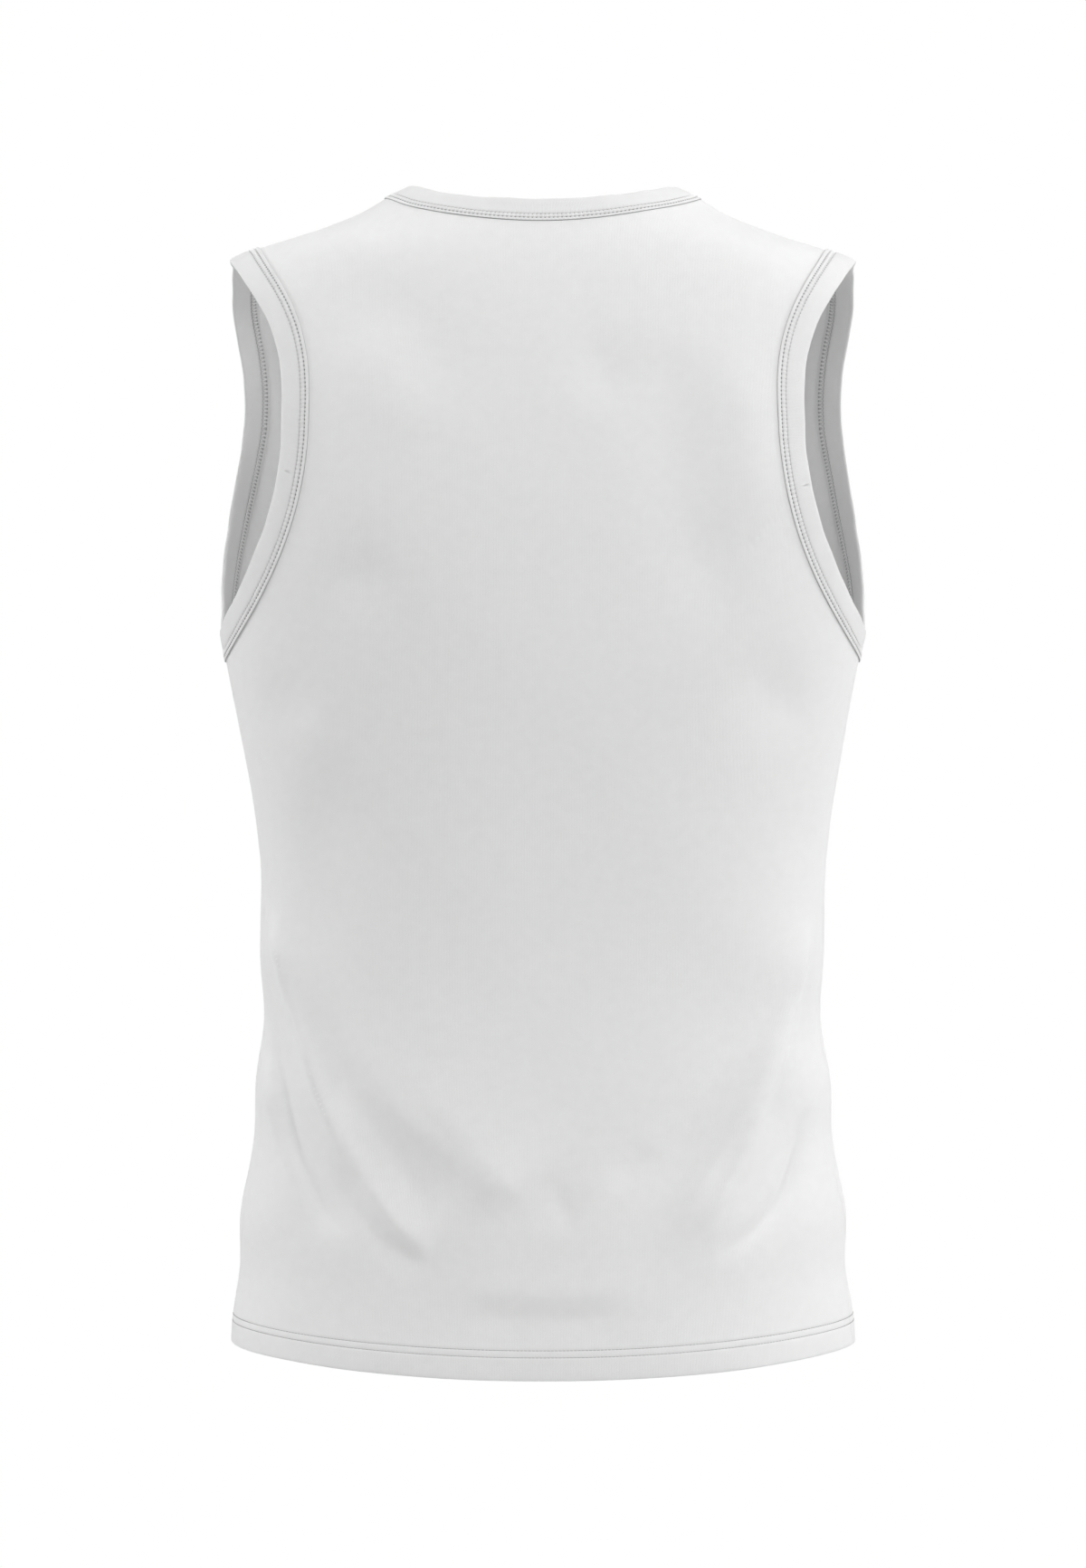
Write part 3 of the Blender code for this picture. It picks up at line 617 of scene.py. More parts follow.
def new_object(name, points, faces, materials, face_slots=None, uv=None):
    """A mesh object of the points and faces, shaded smooth. uv has one pair per point."""
    mesh = bpy.data.meshes.new(name)
    mesh.from_pydata(points.tolist(), [], faces)
    for material in materials:
        mesh.materials.append(material)
    if face_slots is not None:
        mesh.polygons.foreach_set("material_index", np.asarray(face_slots, np.int32))
    if uv is not None:
        corners = np.empty(len(mesh.loops), np.int32)
        mesh.loops.foreach_get("vertex_index", corners)
        mesh.uv_layers.new(name="cloth").data.foreach_set("uv", uv[corners].ravel().astype(np.float32))
    mesh.shade_smooth()
    obj = link(name, mesh)
    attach(obj, "root")
    return obj


def blend_sides(bottom, top, left, right, t, s):
    """Fill a four-sided patch from its sides. t and s are the shares of its rows and columns."""
    t, s = t[:, None], s[None, :]
    across = (1 - s) * left[:, None] + s * right[:, None]
    upward = (1 - t) * bottom[None, :] + t * top[None, :]
    corners = ((1 - s) * (1 - t) * bottom[0] + s * (1 - t) * bottom[-1]
               + (1 - s) * t * top[0] + s * t * top[-1])
    return across + upward - corners


def fill_body(left_phi, left_z, hem_share, top_phi, top_z, side):
    """Angles and heights of a panel below its straps: rows from hem to top, columns left to right."""
    run = distances(figure(left_phi, left_z))
    pull = ((run / run[-1]) ** TOP_PULL)[:, None]
    top_share = (top_phi - top_phi[0]) / (top_phi[-1] - top_phi[0])
    share = (1 - pull) * hem_share + pull * top_share
    left_phi, left_z = left_phi[:, None], left_z[:, None]
    start_z = left_z[HEM_ROWS]
    steps = np.clip(np.arange(len(left_z)) - HEM_ROWS, 0, None)[:, None] / (len(left_z) - 1 - HEM_ROWS)
    even_z = start_z + steps * (top_z - start_z)
    even_z[:HEM_ROWS] = left_z[:HEM_ROWS]
    edge_z = left_z + steps ** 2 * (top_z - top_z[0])
    middle = np.sin(np.pi * np.clip(np.abs(share), 0, 1 - 1e-9)) ** MIDDLE_PULL
    return left_phi + (side * np.pi - 2 * left_phi) * share, edge_z + middle * (even_z - edge_z)


def panel_grid(side, arm_in, neck_in):
    """Angles, heights and point numbers of a panel's grid inside its borders."""
    strap_rows = STRAP_ROWS[side]
    hem_z = HEM_Z + HEM_HEIGHTS
    seam_z = np.r_[hem_z, np.linspace(hem_z[-1], arm_in[1][0], SIDE_ROWS + 1)[1:]]
    left_phi = np.r_[np.zeros(len(seam_z)), arm_in[0][1:]]
    left_z = np.r_[seam_z, arm_in[1][1:]]
    foot_row = len(left_phi) - 1 - strap_rows
    neck_phi, neck_z = neck_in
    neck_end = len(neck_phi) - strap_rows
    ends = np.array([[left_phi[foot_row], neck_phi[strap_rows]], [left_z[foot_row], neck_z[strap_rows]]])
    extra = np.array(SEAM_COLUMNS) / line_length(*ends)
    strap_share = np.r_[0, extra, np.linspace(extra[-1], 1, STRAP_COLUMNS - len(extra) + 1)[1:]]
    foot_phi = ends[0][0] + strap_share * (ends[0][1] - ends[0][0])
    foot_z = ends[1][0] + strap_share * (ends[1][1] - ends[1][0])
    top_phi = np.r_[foot_phi[:-1], neck_phi[strap_rows:neck_end], side * np.pi - foot_phi[-2::-1]]
    top_z = np.r_[foot_z[:-1], neck_z[strap_rows:neck_end], foot_z[-2::-1]]

    columns = len(top_phi) - 1
    dense = hem_ring(side)
    extra = np.array(SEAM_COLUMNS) / line_length(*dense)
    inner = np.linspace(extra[-1], 1 - extra[-1], columns - 2 * len(extra) + 1)
    share = np.r_[0, extra[:-1], inner, 1 - extra[-2::-1], 1]
    even_phi, _ = even_steps(*dense, HEM_STEPS)
    hem_share = np.interp(share, np.linspace(0, 1, HEM_STEPS + 1), even_phi) / (side * np.pi)
    phi, z = fill_body(left_phi[:foot_row + 1], left_z[:foot_row + 1], hem_share, top_phi, top_z, side)
    fine = HEM_HEIGHTS[-1]
    fall = np.clip(1 - (z - HEM_Z - fine) / (left_z[foot_row] - HEM_Z - fine), 0, 1) ** HEM_FALL
    z += (hem_line(phi, side) - HEM_Z) * fall

    seam_line = left_z[-1] + strap_share * (neck_z[0] - left_z[-1])
    rise = np.linspace(0, 1, strap_rows + 1)
    sides = left_phi[foot_row:], neck_phi[strap_rows::-1]
    strap_phi = blend_sides(foot_phi, 0 * seam_line, *sides, rise, strap_share)
    strap_z = blend_sides(foot_z, seam_line, left_z[foot_row:], neck_z[strap_rows::-1], rise, strap_share)
    blank = np.full((strap_rows, columns - 2 * STRAP_COLUMNS - 1), np.nan)
    phi = np.vstack([phi, np.hstack([strap_phi[1:], blank, side * np.pi - strap_phi[1:, ::-1]])])
    z = np.vstack([z, np.hstack([strap_z[1:], blank, strap_z[1:, ::-1]])])
    index = np.full(phi.shape, -1)
    used = ~np.isnan(phi)
    index[used] = np.arange(used.sum())
    return phi, z, index, len(seam_z) - 1, foot_row


def hem_turn(phi, z0):
    """The hem's roll and turn-up under a row of columns, from the turn-up's raw edge down.

    Returns rows of angle, height, the angle by which the cloth has turned over and the distance run
    past the hem's row.
    """
    rise = HEM_TURN_UP - HEM_ROLL
    rows = [(share * rise, np.pi) for share in np.linspace(1, 0, TURN_ROWS + 1)[:-1]]
    rows += [(0, turn) for turn in np.linspace(np.pi, 0, ROLL_STEPS + 1)[:-1]]
    up, turn = np.repeat(rows, len(phi), axis=0).T
    z = np.tile(z0, len(rows)) + up - HEM_ROLL * np.sin(turn)
    return np.stack([np.tile(phi, len(rows)), z, turn, HEM_ROLL * turn + up], 1)


def patch_quads(index):
    """Quads over a grid of point numbers, facing outward for rows that rise and run +x to -x."""
    a, b, c, d = index[:-1, :-1], index[:-1, 1:], index[1:, 1:], index[1:, :-1]
    quads = np.stack([a.ravel(), b.ravel(), c.ravel(), d.ravel()], 1)
    return quads[quads.min(1) >= 0]


def close_sheet(quads, count):
    """Faces of a thin shell: the outer quads, the inner ones turned over, and the rim between."""
    edges = np.vstack([np.stack([quads[:, k], quads[:, (k + 1) % 4]], 1) for k in range(4)])
    key = edges[:, 0] * count + edges[:, 1]
    rim = edges[~np.isin(key, edges[:, 1] * count + edges[:, 0])]
    rim_quads = np.stack([rim[:, 1], rim[:, 0], rim[:, 0] + count, rim[:, 1] + count], 1)
    faces = np.vstack([quads, quads[:, ::-1] + count, rim_quads])
    slots = np.r_[np.zeros(len(quads)), np.ones(len(quads)), np.zeros(len(rim_quads))]
    return faces.tolist(), slots


def seam_distance(phi, z, side):
    """Distance from the nearer side or shoulder seam, round the ring."""
    seam = np.where(np.cos(phi) >= 0, 0.0, side * np.pi)
    return np.linalg.norm(figure(phi, z) - figure(seam, z), axis=-1)


def flat_facts(phi, z):
    """The facts of plain cloth, in the columns that hem_turn() gives."""
    return np.stack([phi, z, 0 * phi, 0 * phi], 1)


def panel(name, side, materials):
    """One panel as a thin shell: its grid, the borders under the bindings and the turned hem."""
    arm = edge_levels(armhole_fold(side), side, ARMHOLE_STATIONS[side], 0.0)
    neck = edge_levels(neck_fold(side), side, NECK_STATIONS[side], side * np.pi)
    phi, z, index, arm_row, foot_row = panel_grid(side, arm[-1], neck[-1])
    used = index >= 0
    facts = [flat_facts(phi[used], z[used]), hem_turn(phi[0], z[0])]
    columns = index.shape[1]
    count = len(facts[0])
    turn_index = (count + np.arange(len(facts[1]))).reshape(-1, columns)
    count += turn_index.size
    quads = [patch_quads(index), patch_quads(np.vstack([turn_index, index[:1]]))]
    last = columns - 1 - STRAP_COLUMNS
    notch = np.r_[
        index[:foot_row:-1, STRAP_COLUMNS], index[foot_row, STRAP_COLUMNS:last], index[foot_row:, last]
    ]
    borders = (
        ("left", arm, index[arm_row:, 0]),
        ("right", [mirrored(level, side) for level in arm], index[arm_row:, -1]),
        ("neck", neck, notch),
    )
    for key, levels, inner in borders:
        outward = levels[-2::-1]
        facts += [flat_facts(*level) for level in outward]
        added = count + np.arange(len(outward) * len(inner)).reshape(len(outward), -1)
        lines = np.vstack([inner, added])
        count += added.size
        quads.append(patch_quads({"left": lines[::-1].T, "right": lines.T, "neck": lines}[key]))
    quads = np.vstack(quads)
    if side < 0:
        quads = quads[:, ::-1]

    phi, z, turn, run = np.vstack(facts).T
    cos, sin = np.cos(turn)[:, None], np.sin(turn)[:, None]
    _, by_z, normal = slopes(cloth, phi, z)
    middle = cloth(phi, z) + normal * HEM_ROLL * (cos - 1) + [0, side * SEAM_GAP / 2, 0]
    sheet = unit(normal * cos - unit(by_z) * sin)
    sink = GROOVE_DEPTH * np.exp(-(seam_distance(phi, z, side) / GROOVE_WIDTH) ** 2)
    height = z - hem_line(phi, side)
    for row in HEM_STITCHES:
        sink += np.where(run == 0, ROW_SINK * np.exp(-((height - row) / ROW_SINK_WIDTH) ** 2), 0)
    points = np.vstack([middle + sheet * (CLOTH / 2 - sink)[:, None], middle - sheet * CLOTH / 2])
    uv = np.stack([arc(phi, z), np.where(run > 0, hem_line(phi, side) + HEM_HEIGHTS[0] - run, z)], 1)
    faces, slots = close_sheet(quads, count)
    return new_object(name, points, faces, materials, slots, np.vstack([uv, uv]))


# ---- bindings ----
class Rail:
    """A line on the cloth: its points, the cloth's normals there and whether it closes."""

    def __init__(self, points, normals, closed):
        self.points, self.normals, self.closed = points, normals, closed

    def at(self, station):
        """Points and normals at the stations, which may lie between two of the rail's own."""
        count = len(self.points)
        if not self.closed:
            station = np.clip(station, 0, count - 1.000001)
        low = np.floor(station).astype(int)
        share = (station - low)[..., None]
        low, high = low % count, (low + 1) % count
        point = self.points[low] * (1 - share) + self.points[high] * share
        return point, unit(self.normals[low] * (1 - share) + self.normals[high] * share)


def rail(phi, z, closed):
    return Rail(cloth(phi, z), slopes(cloth, phi, z)[2], closed)


class Opening:
    """The loop of one armhole's or the neck's fold, at a few stations to a stitch."""

    def __init__(self, fold, end_is_seam, flip=False):
        self.halves = []
        for side in (+1, -1):
            dense = fold(side)
            stitches = round(line_length(*dense) / STITCH)
            phi, z = even_steps(*dense, stitches * STITCH_STATIONS)
            phi[0], phi[-1] = 0.0, (side * np.pi if end_is_seam else 0.0)
            self.halves.append((side, phi, z))
        self.flip = flip
        self.stations = sum(len(half[1]) - 1 for half in self.halves)
        self.rails = {}

    def rail(self, distance):
        """The loop at a distance in from the fold."""
        key = round(distance, 7)
        if key not in self.rails:
            angles, heights = [], []
            for side, phi, z in self.halves:
                line_phi, line_z = step_inward(phi, z, -side, distance)
                if self.flip:
                    line_phi = side * np.pi - line_phi
                if side < 0:
                    line_phi, line_z = line_phi[::-1], line_z[::-1]
                angles.append(line_phi[:-1])
                heights.append(line_z[:-1])
            self.rails[key] = rail(np.concatenate(angles), np.concatenate(heights), True)
        return self.rails[key]

    def sway(self):
        """How far the fold leans out at each station."""
        turn = 2 * np.pi * np.arange(self.stations) / self.stations
        return BINDING_SWAY * sum(np.sin(waves * turn + phase) for waves, phase in BINDING_SWAYS) / 2


def binding(name, opening, material):
    """A folded strip all round an opening, puckered by its stitches."""
    wave = -np.cos(2 * np.pi * np.arange(opening.stations) / STITCH_STATIONS)
    rings, around = [], []
    for distance, offset, pucker in BINDING_SECTION:
        line = opening.rail(distance * MM)
        lean = opening.sway() * max(0, 1 - distance * MM / BINDING_ROWS[0]) ** 2
        lift = offset * MM + pucker * PUCKER * wave + lean
        rings.append(line.points + line.normals * lift[:, None])
        around.append(distance * MM * np.sign(offset + 1e-9))
    points = np.stack(rings)
    sides, stations = points.shape[:2]
    index = np.arange(sides * stations).reshape(sides, stations)
    right, up = np.roll(index, -1, axis=1), np.roll(index, -1, axis=0)
    faces = np.stack([index, right, np.roll(right, -1, axis=0), up], -1).reshape(-1, 4)
    flat = points.reshape(-1, 3)
    if signed_volume(flat, faces) < 0:
        faces = faces[:, ::-1]
    along = STITCH / STITCH_STATIONS * np.arange(stations)
    uv = np.stack(np.broadcast_arrays(along[None, :], np.array(around)[:, None]), -1).reshape(-1, 2)
    return new_object(name, flat, faces.tolist(), [material], uv=uv)


def signed_volume(points, faces):
    a, b, c, d = (points[faces[:, k]] for k in range(4))
    return float((a * np.cross(b, c)).sum() + (a * np.cross(c, d)).sum()) / 6


# ---- threads ----
class Threads:
    """Collects round threads and makes one object of them."""

    def __init__(self):
        self.points, self.faces, self.slots, self.shares, self.count = [], [], [], [], 0

    def add(self, paths, normals, radius, taper=None, shares=None, closed=False, slot=0, sides=5):
        """Round threads along paths of shape (threads, points, 3).

        taper scales the radius and shares gives the place in a stitch, one value for each point.
        """
        if closed:
            tangent = np.roll(paths, -1, axis=1) - np.roll(paths, 1, axis=1)
        else:
            tangent = np.gradient(paths, axis=1)
        across = unit(np.cross(tangent, normals))
        up = unit(np.cross(across, tangent))
        turn = 2 * np.pi * np.arange(sides) / sides
        reach = radius * (np.ones(paths.shape[1]) if taper is None else np.array(taper))
        rings = paths[:, :, None, :] + reach[None, :, None, None] * (
            np.cos(turn)[:, None] * across[:, :, None, :] + np.sin(turn)[:, None] * up[:, :, None, :])
        threads, length = paths.shape[:2]
        index = self.count + np.arange(threads * length * sides).reshape(threads, length, sides)
        ahead = np.roll(index, -1, axis=1) if closed else index[:, 1:]
        here = index if closed else index[:, :-1]
        quads = np.stack([here, ahead, np.roll(ahead, -1, axis=2), np.roll(here, -1, axis=2)], -1)
        self.faces += quads.reshape(-1, 4)[:, ::-1].tolist()
        if not closed:
            self.faces += index[:, 0].tolist() + index[:, -1, ::-1].tolist()
        self.slots += [slot] * (len(self.faces) - len(self.slots))
        self.points.append(rings.reshape(-1, 3))
        shares = np.full(length, 0.5) if shares is None else np.array(shares)
        self.shares.append(np.broadcast_to(shares[None, :, None], (threads, length, sides)).ravel())
        self.count += threads * length * sides

    def row(self, line, lift, radius=THREAD):
        """A row of separate stitches along a rail, their ends drawn down into the cloth."""
        stations = len(line.points) if line.closed else len(line.points) - 1
        first = np.arange(0, stations - STITCH_STATIONS + 1, STITCH_STATIONS)[:, None]
        at = first + STITCH_STATIONS * np.array(STITCH_SHARES)
        points, normals = line.at(at)
        heights = lift + np.array(STITCH_DIPS)
        self.add(points + normals * heights[:, None], normals, radius, STITCH_TAPER, STITCH_SHARES, slot=1)

    def zigzag(self, line_a, line_b, lift, radius=COVER_THREAD, phase=0.0, steps=6):
        """One thread that swings between two rails, once to and fro in a stitch."""
        stations = len(line_a.points) if line_a.closed else len(line_a.points) - 1
        stitches = stations // STITCH_STATIONS
        count = stitches * steps + (0 if line_a.closed else 1)
        at = np.arange(count) * STITCH_STATIONS / steps
        swing = 2 * np.pi * (np.arange(count) / steps + phase)
        share = (0.5 - 0.5 * np.cos(swing))[:, None]
        at = at + ZIGZAG_LEAN * np.sin(swing)
        (a, normal_a), (b, normal_b) = line_a.at(at), line_b.at(at)
        points, normals = a * (1 - share) + b * share, normal_a * (1 - share) + normal_b * share
        rise = lift + ZIGZAG_ARCH * np.sin(np.pi * share)
        self.add((points + normals * rise)[None], normals[None], radius, closed=line_a.closed, sides=4)

    def make(self, name, materials):
        uv = np.stack([np.concatenate(self.shares), np.zeros(self.count)], 1)
        return new_object(name, np.vstack(self.points), self.faces, materials, self.slots, uv)


def opening_threads(name, opening, materials):
    """The stitches of one binding: two rows and a cover thread outside, the loops inside."""
    threads = Threads()
    low, high = (opening.rail(distance) for distance in BINDING_ROWS)
    for line in (low, high):
        threads.row(line, (BINDING_ROW_TOP + THREAD_RIDE) * MM)
    threads.zigzag(low, high, TOP_OUTSIDE * MM)
    threads.zigzag(low, high, TOP_INSIDE * MM - LOOPER_THREAD, LOOPER_THREAD)
    return threads.make(name, materials)


# ---- hem and seams ----
def hem_stitching(name, side, materials):
    """The hem's two rows outside, and the rows and loops on its turn-up inside."""
    dense = hem_ring(side)
    stitches = round(line_length(*dense) / STITCH)
    phi, _ = even_steps(*dense, stitches * STITCH_STATIONS)
    low, high = (rail(phi, hem_line(phi, side) + height, False) for height in HEM_STITCHES)
    outside = CLOTH / 2 - ROW_SINK + THREAD_RIDE * MM
    inside = -2 * HEM_ROLL - CLOTH / 2 - THREAD_RIDE * MM
    threads = Threads()
    for line in (low, high):
        threads.row(line, outside)
    threads.zigzag(low, high, inside, LOOPER_THREAD)
    return threads.make(name, materials)


def beside_seam(seam, z, distance, toward):
    """Angles of the points at a distance from a seam, on the side that toward gives."""
    by_phi = slopes(figure, seam + 0 * z, z)[0]
    return seam + toward * distance / np.linalg.norm(by_phi, axis=-1)


def seam_allowance(name, seam, bottom, top, materials, thread_materials):
    """Two layers of cloth beside a seam, pressed to the back inside, and their overlock stitches."""
    toward = 1 if seam == 0 else -1
    steps = round((top - bottom) / STITCH) * STITCH_STATIONS
    z = np.linspace(bottom, top, steps + 1)
    quads, outer, inner, uv, count = [], [], [], [], 0
    for outer_offset, inner_offset, width in ALLOWANCE_LAYERS:
        across = np.array(ALLOWANCE_SHARES) * width
        distance, height = np.meshgrid(across[::toward], z[::STITCH_STATIONS])
        phi = beside_seam(seam, height, distance, toward)
        points, normal = cloth(phi, height), slopes(cloth, phi, height)[2]
        wave = ALLOWANCE_WAVE * np.sin(2 * np.pi * height / ALLOWANCE_WAVELENGTH) * (distance / width) ** 4
        for layer, offset in ((outer, outer_offset), (inner, inner_offset)):
            layer.append((points + normal * (offset + wave)[..., None]).reshape(-1, 3))
        uv.append(np.stack([distance.ravel(), height.ravel()], 1))
        quads.append(patch_quads(count + np.arange(phi.size).reshape(phi.shape)))
        count += phi.size
    faces, _ = close_sheet(np.vstack(quads), count)
    points = np.vstack(outer + inner)
    layers = new_object(name + "_allowance", points, faces, materials, uv=np.vstack(uv + uv))

    threads = Threads()
    needle, loops, edge = (
        rail(beside_seam(seam, z, distance, toward), z, False) for distance in OVERLOCK_LINES)
    lowest = ALLOWANCE_LAYERS[-1][1]
    threads.row(needle, lowest - THREAD_RIDE * MM)
    threads.zigzag(needle, loops, lowest - THREAD, THREAD)
    threads.zigzag(needle, loops, lowest - THREAD, THREAD, phase=0.5)
    threads.zigzag(edge, edge, (ALLOWANCE_LAYERS[0][0] + lowest) / 2, THREAD)
    return layers, threads.make(name + "_overlock", thread_materials)


# ---- materials ----
class Shader:
    """Builds a node tree. Kinds of node are named without their prefix."""

    def __init__(self, tree):
        self.tree = tree
        tree.nodes.clear()

    def add(self, kind, inputs=(), **settings):
        node = self.tree.nodes.new("ShaderNode" + kind)
        for key, value in settings.items():
            setattr(node, key, value)
        for key, value in dict(inputs).items():
            if isinstance(value, bpy.types.NodeSocket):
                self.tree.links.new(value, node.inputs[key])
            else:
                node.inputs[key].default_value = value
        return node

    def math(self, operation, a, b=0.0, c=0.0):
        return self.add("Math", {0: a, 1: b, 2: c}, operation=operation).outputs[0]

    def noise(self, vector, scale, detail=2.0):
        inputs = {"Vector": vector, "Scale": scale, "Detail": detail}
        return self.add("TexNoise", inputs).outputs["Fac"]

    def ramp(self, value, places, levels):
        """A value that goes straight from one level to the other between two places."""
        return self.add("MapRange", {
            "Value": value, "From Min": places[0], "From Max": places[1],
            "To Min": levels[0], "To Max": levels[1]}).outputs["Result"]

    def scaled_sum(self, value, scale, other):
        return self.math("MULTIPLY_ADD", value, scale, other)

    def wave(self, value, pitch):
        """A sine of the value, one turn to a pitch, between -1 and 1."""
        return self.math("SINE", self.scaled_sum(value, 2 * np.pi / pitch, 0.0))


def new_material(name):
    material = bpy.data.materials.new(name)
    material.use_nodes = True
    return material, Shader(material.node_tree)


def finish_material(shader, greys, places, pattern, height, shade=None):
    """Principled cloth: a ramp between two greys over a pattern, and a bump of the height given. A shade,
    where given, scales the colour down as painted shade.
    """
    ramp = shader.add("ValToRGB", {"Fac": pattern})
    base = ramp.outputs["Color"]
    for element, grey, place in zip(ramp.color_ramp.elements, greys, places):
        element.color, element.position = (grey, grey, grey, 1), place
    if shade is not None:
        scaled = shader.add("VectorMath", {0: base, "Scale": shade}, operation="SCALE")
        base = scaled.outputs["Vector"]
    bump = shader.add("Bump", {
        "Height": height, "Distance": KNIT_DEPTH, "Strength": KNIT_STRENGTH})
    bsdf = shader.add("BsdfPrincipled", {
        "Base Color": base, "Roughness": KNIT_ROUGHNESS, "Specular IOR Level": KNIT_SPECULAR,
        "Sheen Weight": SHEEN, "Sheen Roughness": SHEEN_ROUGHNESS, "Normal": bump.outputs["Normal"],
    })
    shader.add("OutputMaterial", {"Surface": bsdf.outputs["BSDF"]})


def knit(name, grey, wale, course, reverse=False, painted_stitch_shade=False):
    """Single jersey from the cloth's own coordinates: rows of V loops, or purl bars on its back; a
    binding's knit also gets painted shade at its stitches and free edge.
    """
    material, shader = new_material(name)
    where = shader.add("UVMap", uv_map="cloth").outputs["UV"]
    wobble = shader.noise(where, WOBBLE_SCALE)
    split = shader.add("SeparateXYZ", {"Vector": where})
    across = shader.scaled_sum(wobble, wale * WOBBLE, split.outputs["X"])
    along = shader.scaled_sum(wobble, course * WOBBLE, split.outputs["Y"])
    lean = shader.math("PINGPONG", across, wale / 2)
    columns = shader.wave(across, wale)
    if reverse:
        curve = shader.scaled_sum(columns, course * PURL_CURVE, along)
        height = shader.scaled_sum(columns, PURL_COLUMNS, shader.wave(curve, course))
    else:
        slanted = shader.scaled_sum(lean, LOOP_SLANT, along)
        height = shader.scaled_sum(columns, LOOP_COLUMNS, shader.wave(slanted, course))
    fuzz = shader.noise(where, FUZZ_SCALE, 3.0)
    height = shader.scaled_sum(fuzz, FUZZ_SHARE, height)
    mottle = shader.noise(where, MOTTLE_SCALE, 4.0)
    greys = grey * (1 - MOTTLING), grey * (1 + MOTTLING)
    # painted shade of a binding's needle holes, the bed of its loops and its free edge
    shade = stitch_shade(shader, split.outputs["X"], split.outputs["Y"]) if painted_stitch_shade else None
    finish_material(shader, greys, MOTTLE_SHARES, mottle, height, shade)
    return material


def stitch_shade(shader, along, from_fold):
    """Painted shade: the share of its colour that a binding keeps, less at needle holes, in the bed of the
    loops inside and on the face of its free edge."""
    math = shader.math
    inward = math("ABSOLUTE", from_fold)
    off_row = math("MINIMUM", *(math("ABSOLUTE", math("SUBTRACT", inward, row)) for row in BINDING_ROWS))
    off_stitch = math("PINGPONG", along, STITCH / 2)
    off_hole = math("SQRT", math("ADD", math("POWER", off_row, 2.0), math("POWER", off_stitch, 2.0)))
    low, high = BINDING_ROWS
    off_bed = math("ABSOLUTE", math("ADD", from_fold, (low + high) / 2))
    half = (high - low) / 2
    holes = shader.ramp(off_hole, HOLE_REACH, (HOLE_SHADE, 1.0))
    bed = shader.ramp(off_bed, (half, half + THREAD), (BED_SHADE, 1.0))
    edge = shader.ramp(from_fold, EDGE_REACH, (1.0, EDGE_SHADE))
    return math("MULTIPLY", math("MULTIPLY", holes, bed), edge)


def thread_material(name, grey):
    """Spun thread with fine uneven ridges, and painted shade where a stitch's ends go down their needle
    holes.
    """
    material, shader = new_material(name)
    where = shader.add("TexCoord").outputs["Object"]
    ridges = shader.noise(where, THREAD_FUZZ_SCALE, 2.0)
    place = shader.add("SeparateXYZ", {
        "Vector": shader.add("UVMap", uv_map="cloth").outputs["UV"]})
    from_end = shader.math("PINGPONG", place.outputs["X"], 0.5)
    # painted shade: the ends of a stitch darken towards their needle holes
    finish_material(shader, (HOLE_PAINTED_SHADE_GREY, grey), HOLE_SHARES, from_end, ridges)
    return material


# ---- stage ----
def camera():
    data = bpy.data.cameras.new("camera")
    data.sensor_fit = "AUTO"
    data.sensor_width = SENSOR
    data.lens = SENSOR * VIEW_DISTANCE / VIEW_HEIGHT
    obj = link("camera", data)
    obj.location = (0, VIEW_DISTANCE, VIEW_Z)
    obj.rotation_euler = (np.pi / 2, 0, np.pi)
    bpy.context.scene.camera = obj


def area_light(name, turn, rise, power):
    """A soft square light at an angle round from the camera and an angle up, aimed at the garment."""
    turn, rise = np.radians(turn), np.radians(rise)
    away = Vector((-np.sin(turn) * np.cos(rise), np.cos(turn) * np.cos(rise), np.sin(rise)))
    data = bpy.data.lights.new(name, "AREA")
    data.size, data.energy = LIGHT_SIZE, power
    obj = link(name, data)
    obj.location = Vector(LIGHT_TARGET) + LIGHT_DISTANCE * away
    obj.rotation_euler = away.to_track_quat("Z", "Y").to_euler()
    obj.visible_camera = False


def world():
    """White to the camera. As a light it is dimmer on the camera's side than behind."""
    made = bpy.data.worlds.new("studio")
    bpy.context.scene.world = made
    made.use_nodes = True
    shader = Shader(made.node_tree)
    way = shader.add("SeparateXYZ", {
        "Vector": shader.add("TexCoord").outputs["Generated"]})
    level = shader.ramp(way.outputs["Y"], (-SKY_BLEND, SKY_BLEND), (SKY_BEHIND, SKY_FRONT))
    light = shader.add("Background", {"Color": WHITE, "Strength": level})
    seen = shader.add("Background", {"Color": WHITE})
    ray = shader.add("LightPath").outputs["Is Camera Ray"]
    mix = shader.add("MixShader", {0: ray, 1: light.outputs[0], 2: seen.outputs[0]})
    shader.add("OutputWorld", {"Surface": mix.outputs[0]})


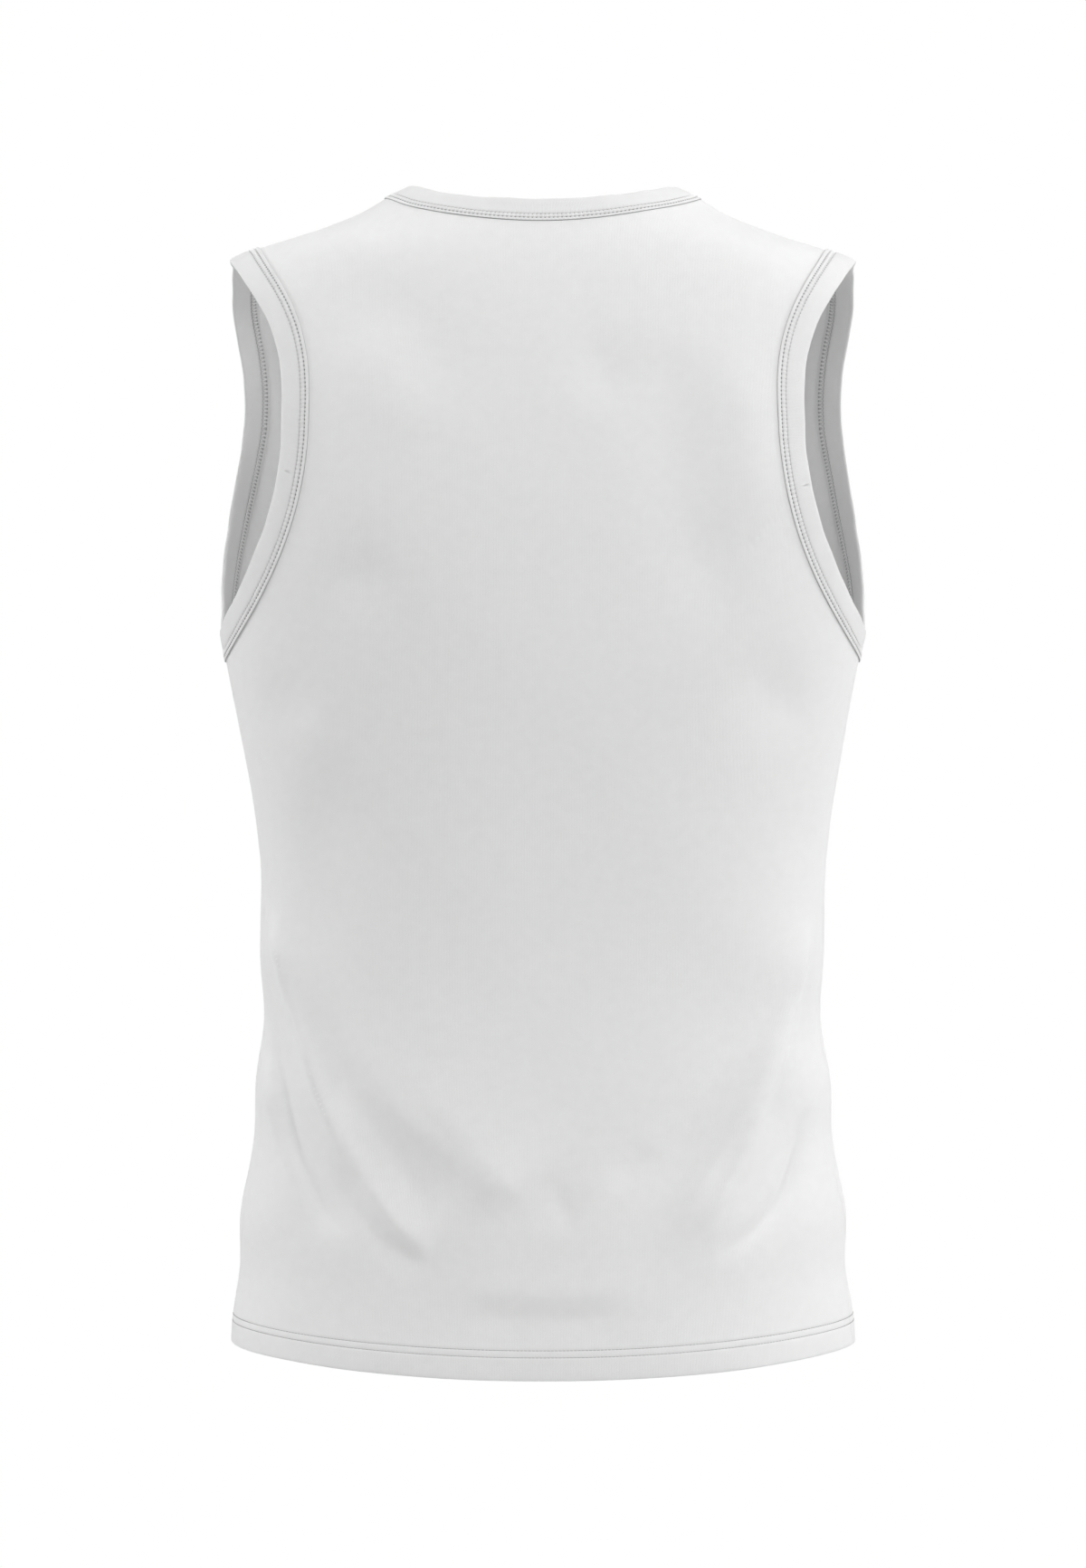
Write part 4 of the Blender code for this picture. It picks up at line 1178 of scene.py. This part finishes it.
def floor():
    """A wide pale floor that turns into the white background away from the garment."""
    material, shader = new_material("pale_floor")
    where = shader.add("TexCoord").outputs["Object"]
    away = shader.add("VectorMath", {0: where}, operation="LENGTH").outputs["Value"]
    share = shader.add("MapRange", {
        "Value": away, "From Min": FLOOR_NEAR, "From Max": FLOOR_FAR}, interpolation_type="SMOOTHSTEP")
    ray = shader.add("LightPath").outputs["Is Camera Ray"]
    white = shader.math("MULTIPLY", share.outputs["Result"], ray)
    plain = shader.add("BsdfDiffuse", {"Color": FLOOR_COLOUR})
    seen = shader.add("Emission", {"Color": WHITE, "Strength": 1.0})
    mix = shader.add("MixShader", {0: white, 1: plain.outputs[0], 2: seen.outputs[0]})
    shader.add("OutputMaterial", {"Surface": mix.outputs[0]})
    reach = FLOOR_SIZE / 2
    mesh = bpy.data.meshes.new("floor")
    mesh.from_pydata([(-reach, -reach, 0), (reach, -reach, 0), (reach, reach, 0), (-reach, reach, 0)],
                     [], [(0, 1, 2, 3)])
    mesh.materials.append(material)
    obj = link("floor", mesh)
    obj.location = (0, 0, FLOOR_Z)
    obj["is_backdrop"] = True


# ---- build ----
face_knit = knit("panel_face_knit", KNIT_GREY, *PANEL_LOOP)
# painted light: the reverse knit is lighter than the face knit of the same cloth
reverse_knit = knit("panel_reverse_knit", REVERSE_PAINTED_LIGHT_GREY, *PANEL_LOOP, reverse=True)
# the binding's knit is darkened by painted shade at its needle holes, between its rows inside and on its
# free edge
binding_knit = knit("binding_knit", BINDING_GREY, *BINDING_LOOP, painted_stitch_shade=True)
looper_thread = thread_material("looper_thread", THREAD_GREY)
# the needle threads are greyed as painted shade of their grooves
binding_threads = [looper_thread, thread_material("binding_needle_thread", NEEDLE_ROW_PAINTED_SHADE_GREY)]
hem_threads = [looper_thread, thread_material("hem_needle_thread", HEM_NEEDLE_ROW_PAINTED_SHADE_GREY)]

openings = {
    "neck": (Opening(neck_fold, True), "neck_binding"),
    "left_armhole": (Opening(armhole_fold, False), "left_armhole_binding"),
    "right_armhole": (Opening(armhole_fold, False, flip=True), "right_armhole_binding"),
}
for key, (opening, node) in openings.items():
    piece = binding(node + "_cloth", opening, binding_knit)
    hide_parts(node)
    stitching = opening_threads(node + "_stitching", opening, binding_threads)

attached = {
    +1: [hem_stitching("hem_stitching_back", +1, hem_threads)],
    -1: [hem_stitching("hem_stitching_front", -1, hem_threads)],
}
for kind, heights in (("side", SIDE_ALLOWANCE), ("shoulder", SHOULDER_ALLOWANCE)):
    for way, seam in (("left", 0.0), ("right", np.pi)):
        attached[+1] += seam_allowance(f"{way}_{kind}_seam", seam, *heights, [reverse_knit], hem_threads)
for side, node, area in ((+1, "back_panel", BACK_AREA), (-1, "front_panel", FRONT_AREA)):
    piece = panel(node + "_cloth", side, [face_knit, reverse_knit])
    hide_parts(node)
    for extra in attached[side]:
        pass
    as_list(attached[side])

camera()
world()
floor()
for light in LIGHTS:
    area_light(*light)
bpy.context.scene.view_settings.view_transform = "Standard"

visual_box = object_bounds()
({name: [list(map(float, corner)) for corner in box]
           for name, box in (("cad", cad_box), ("visual", visual_box))})
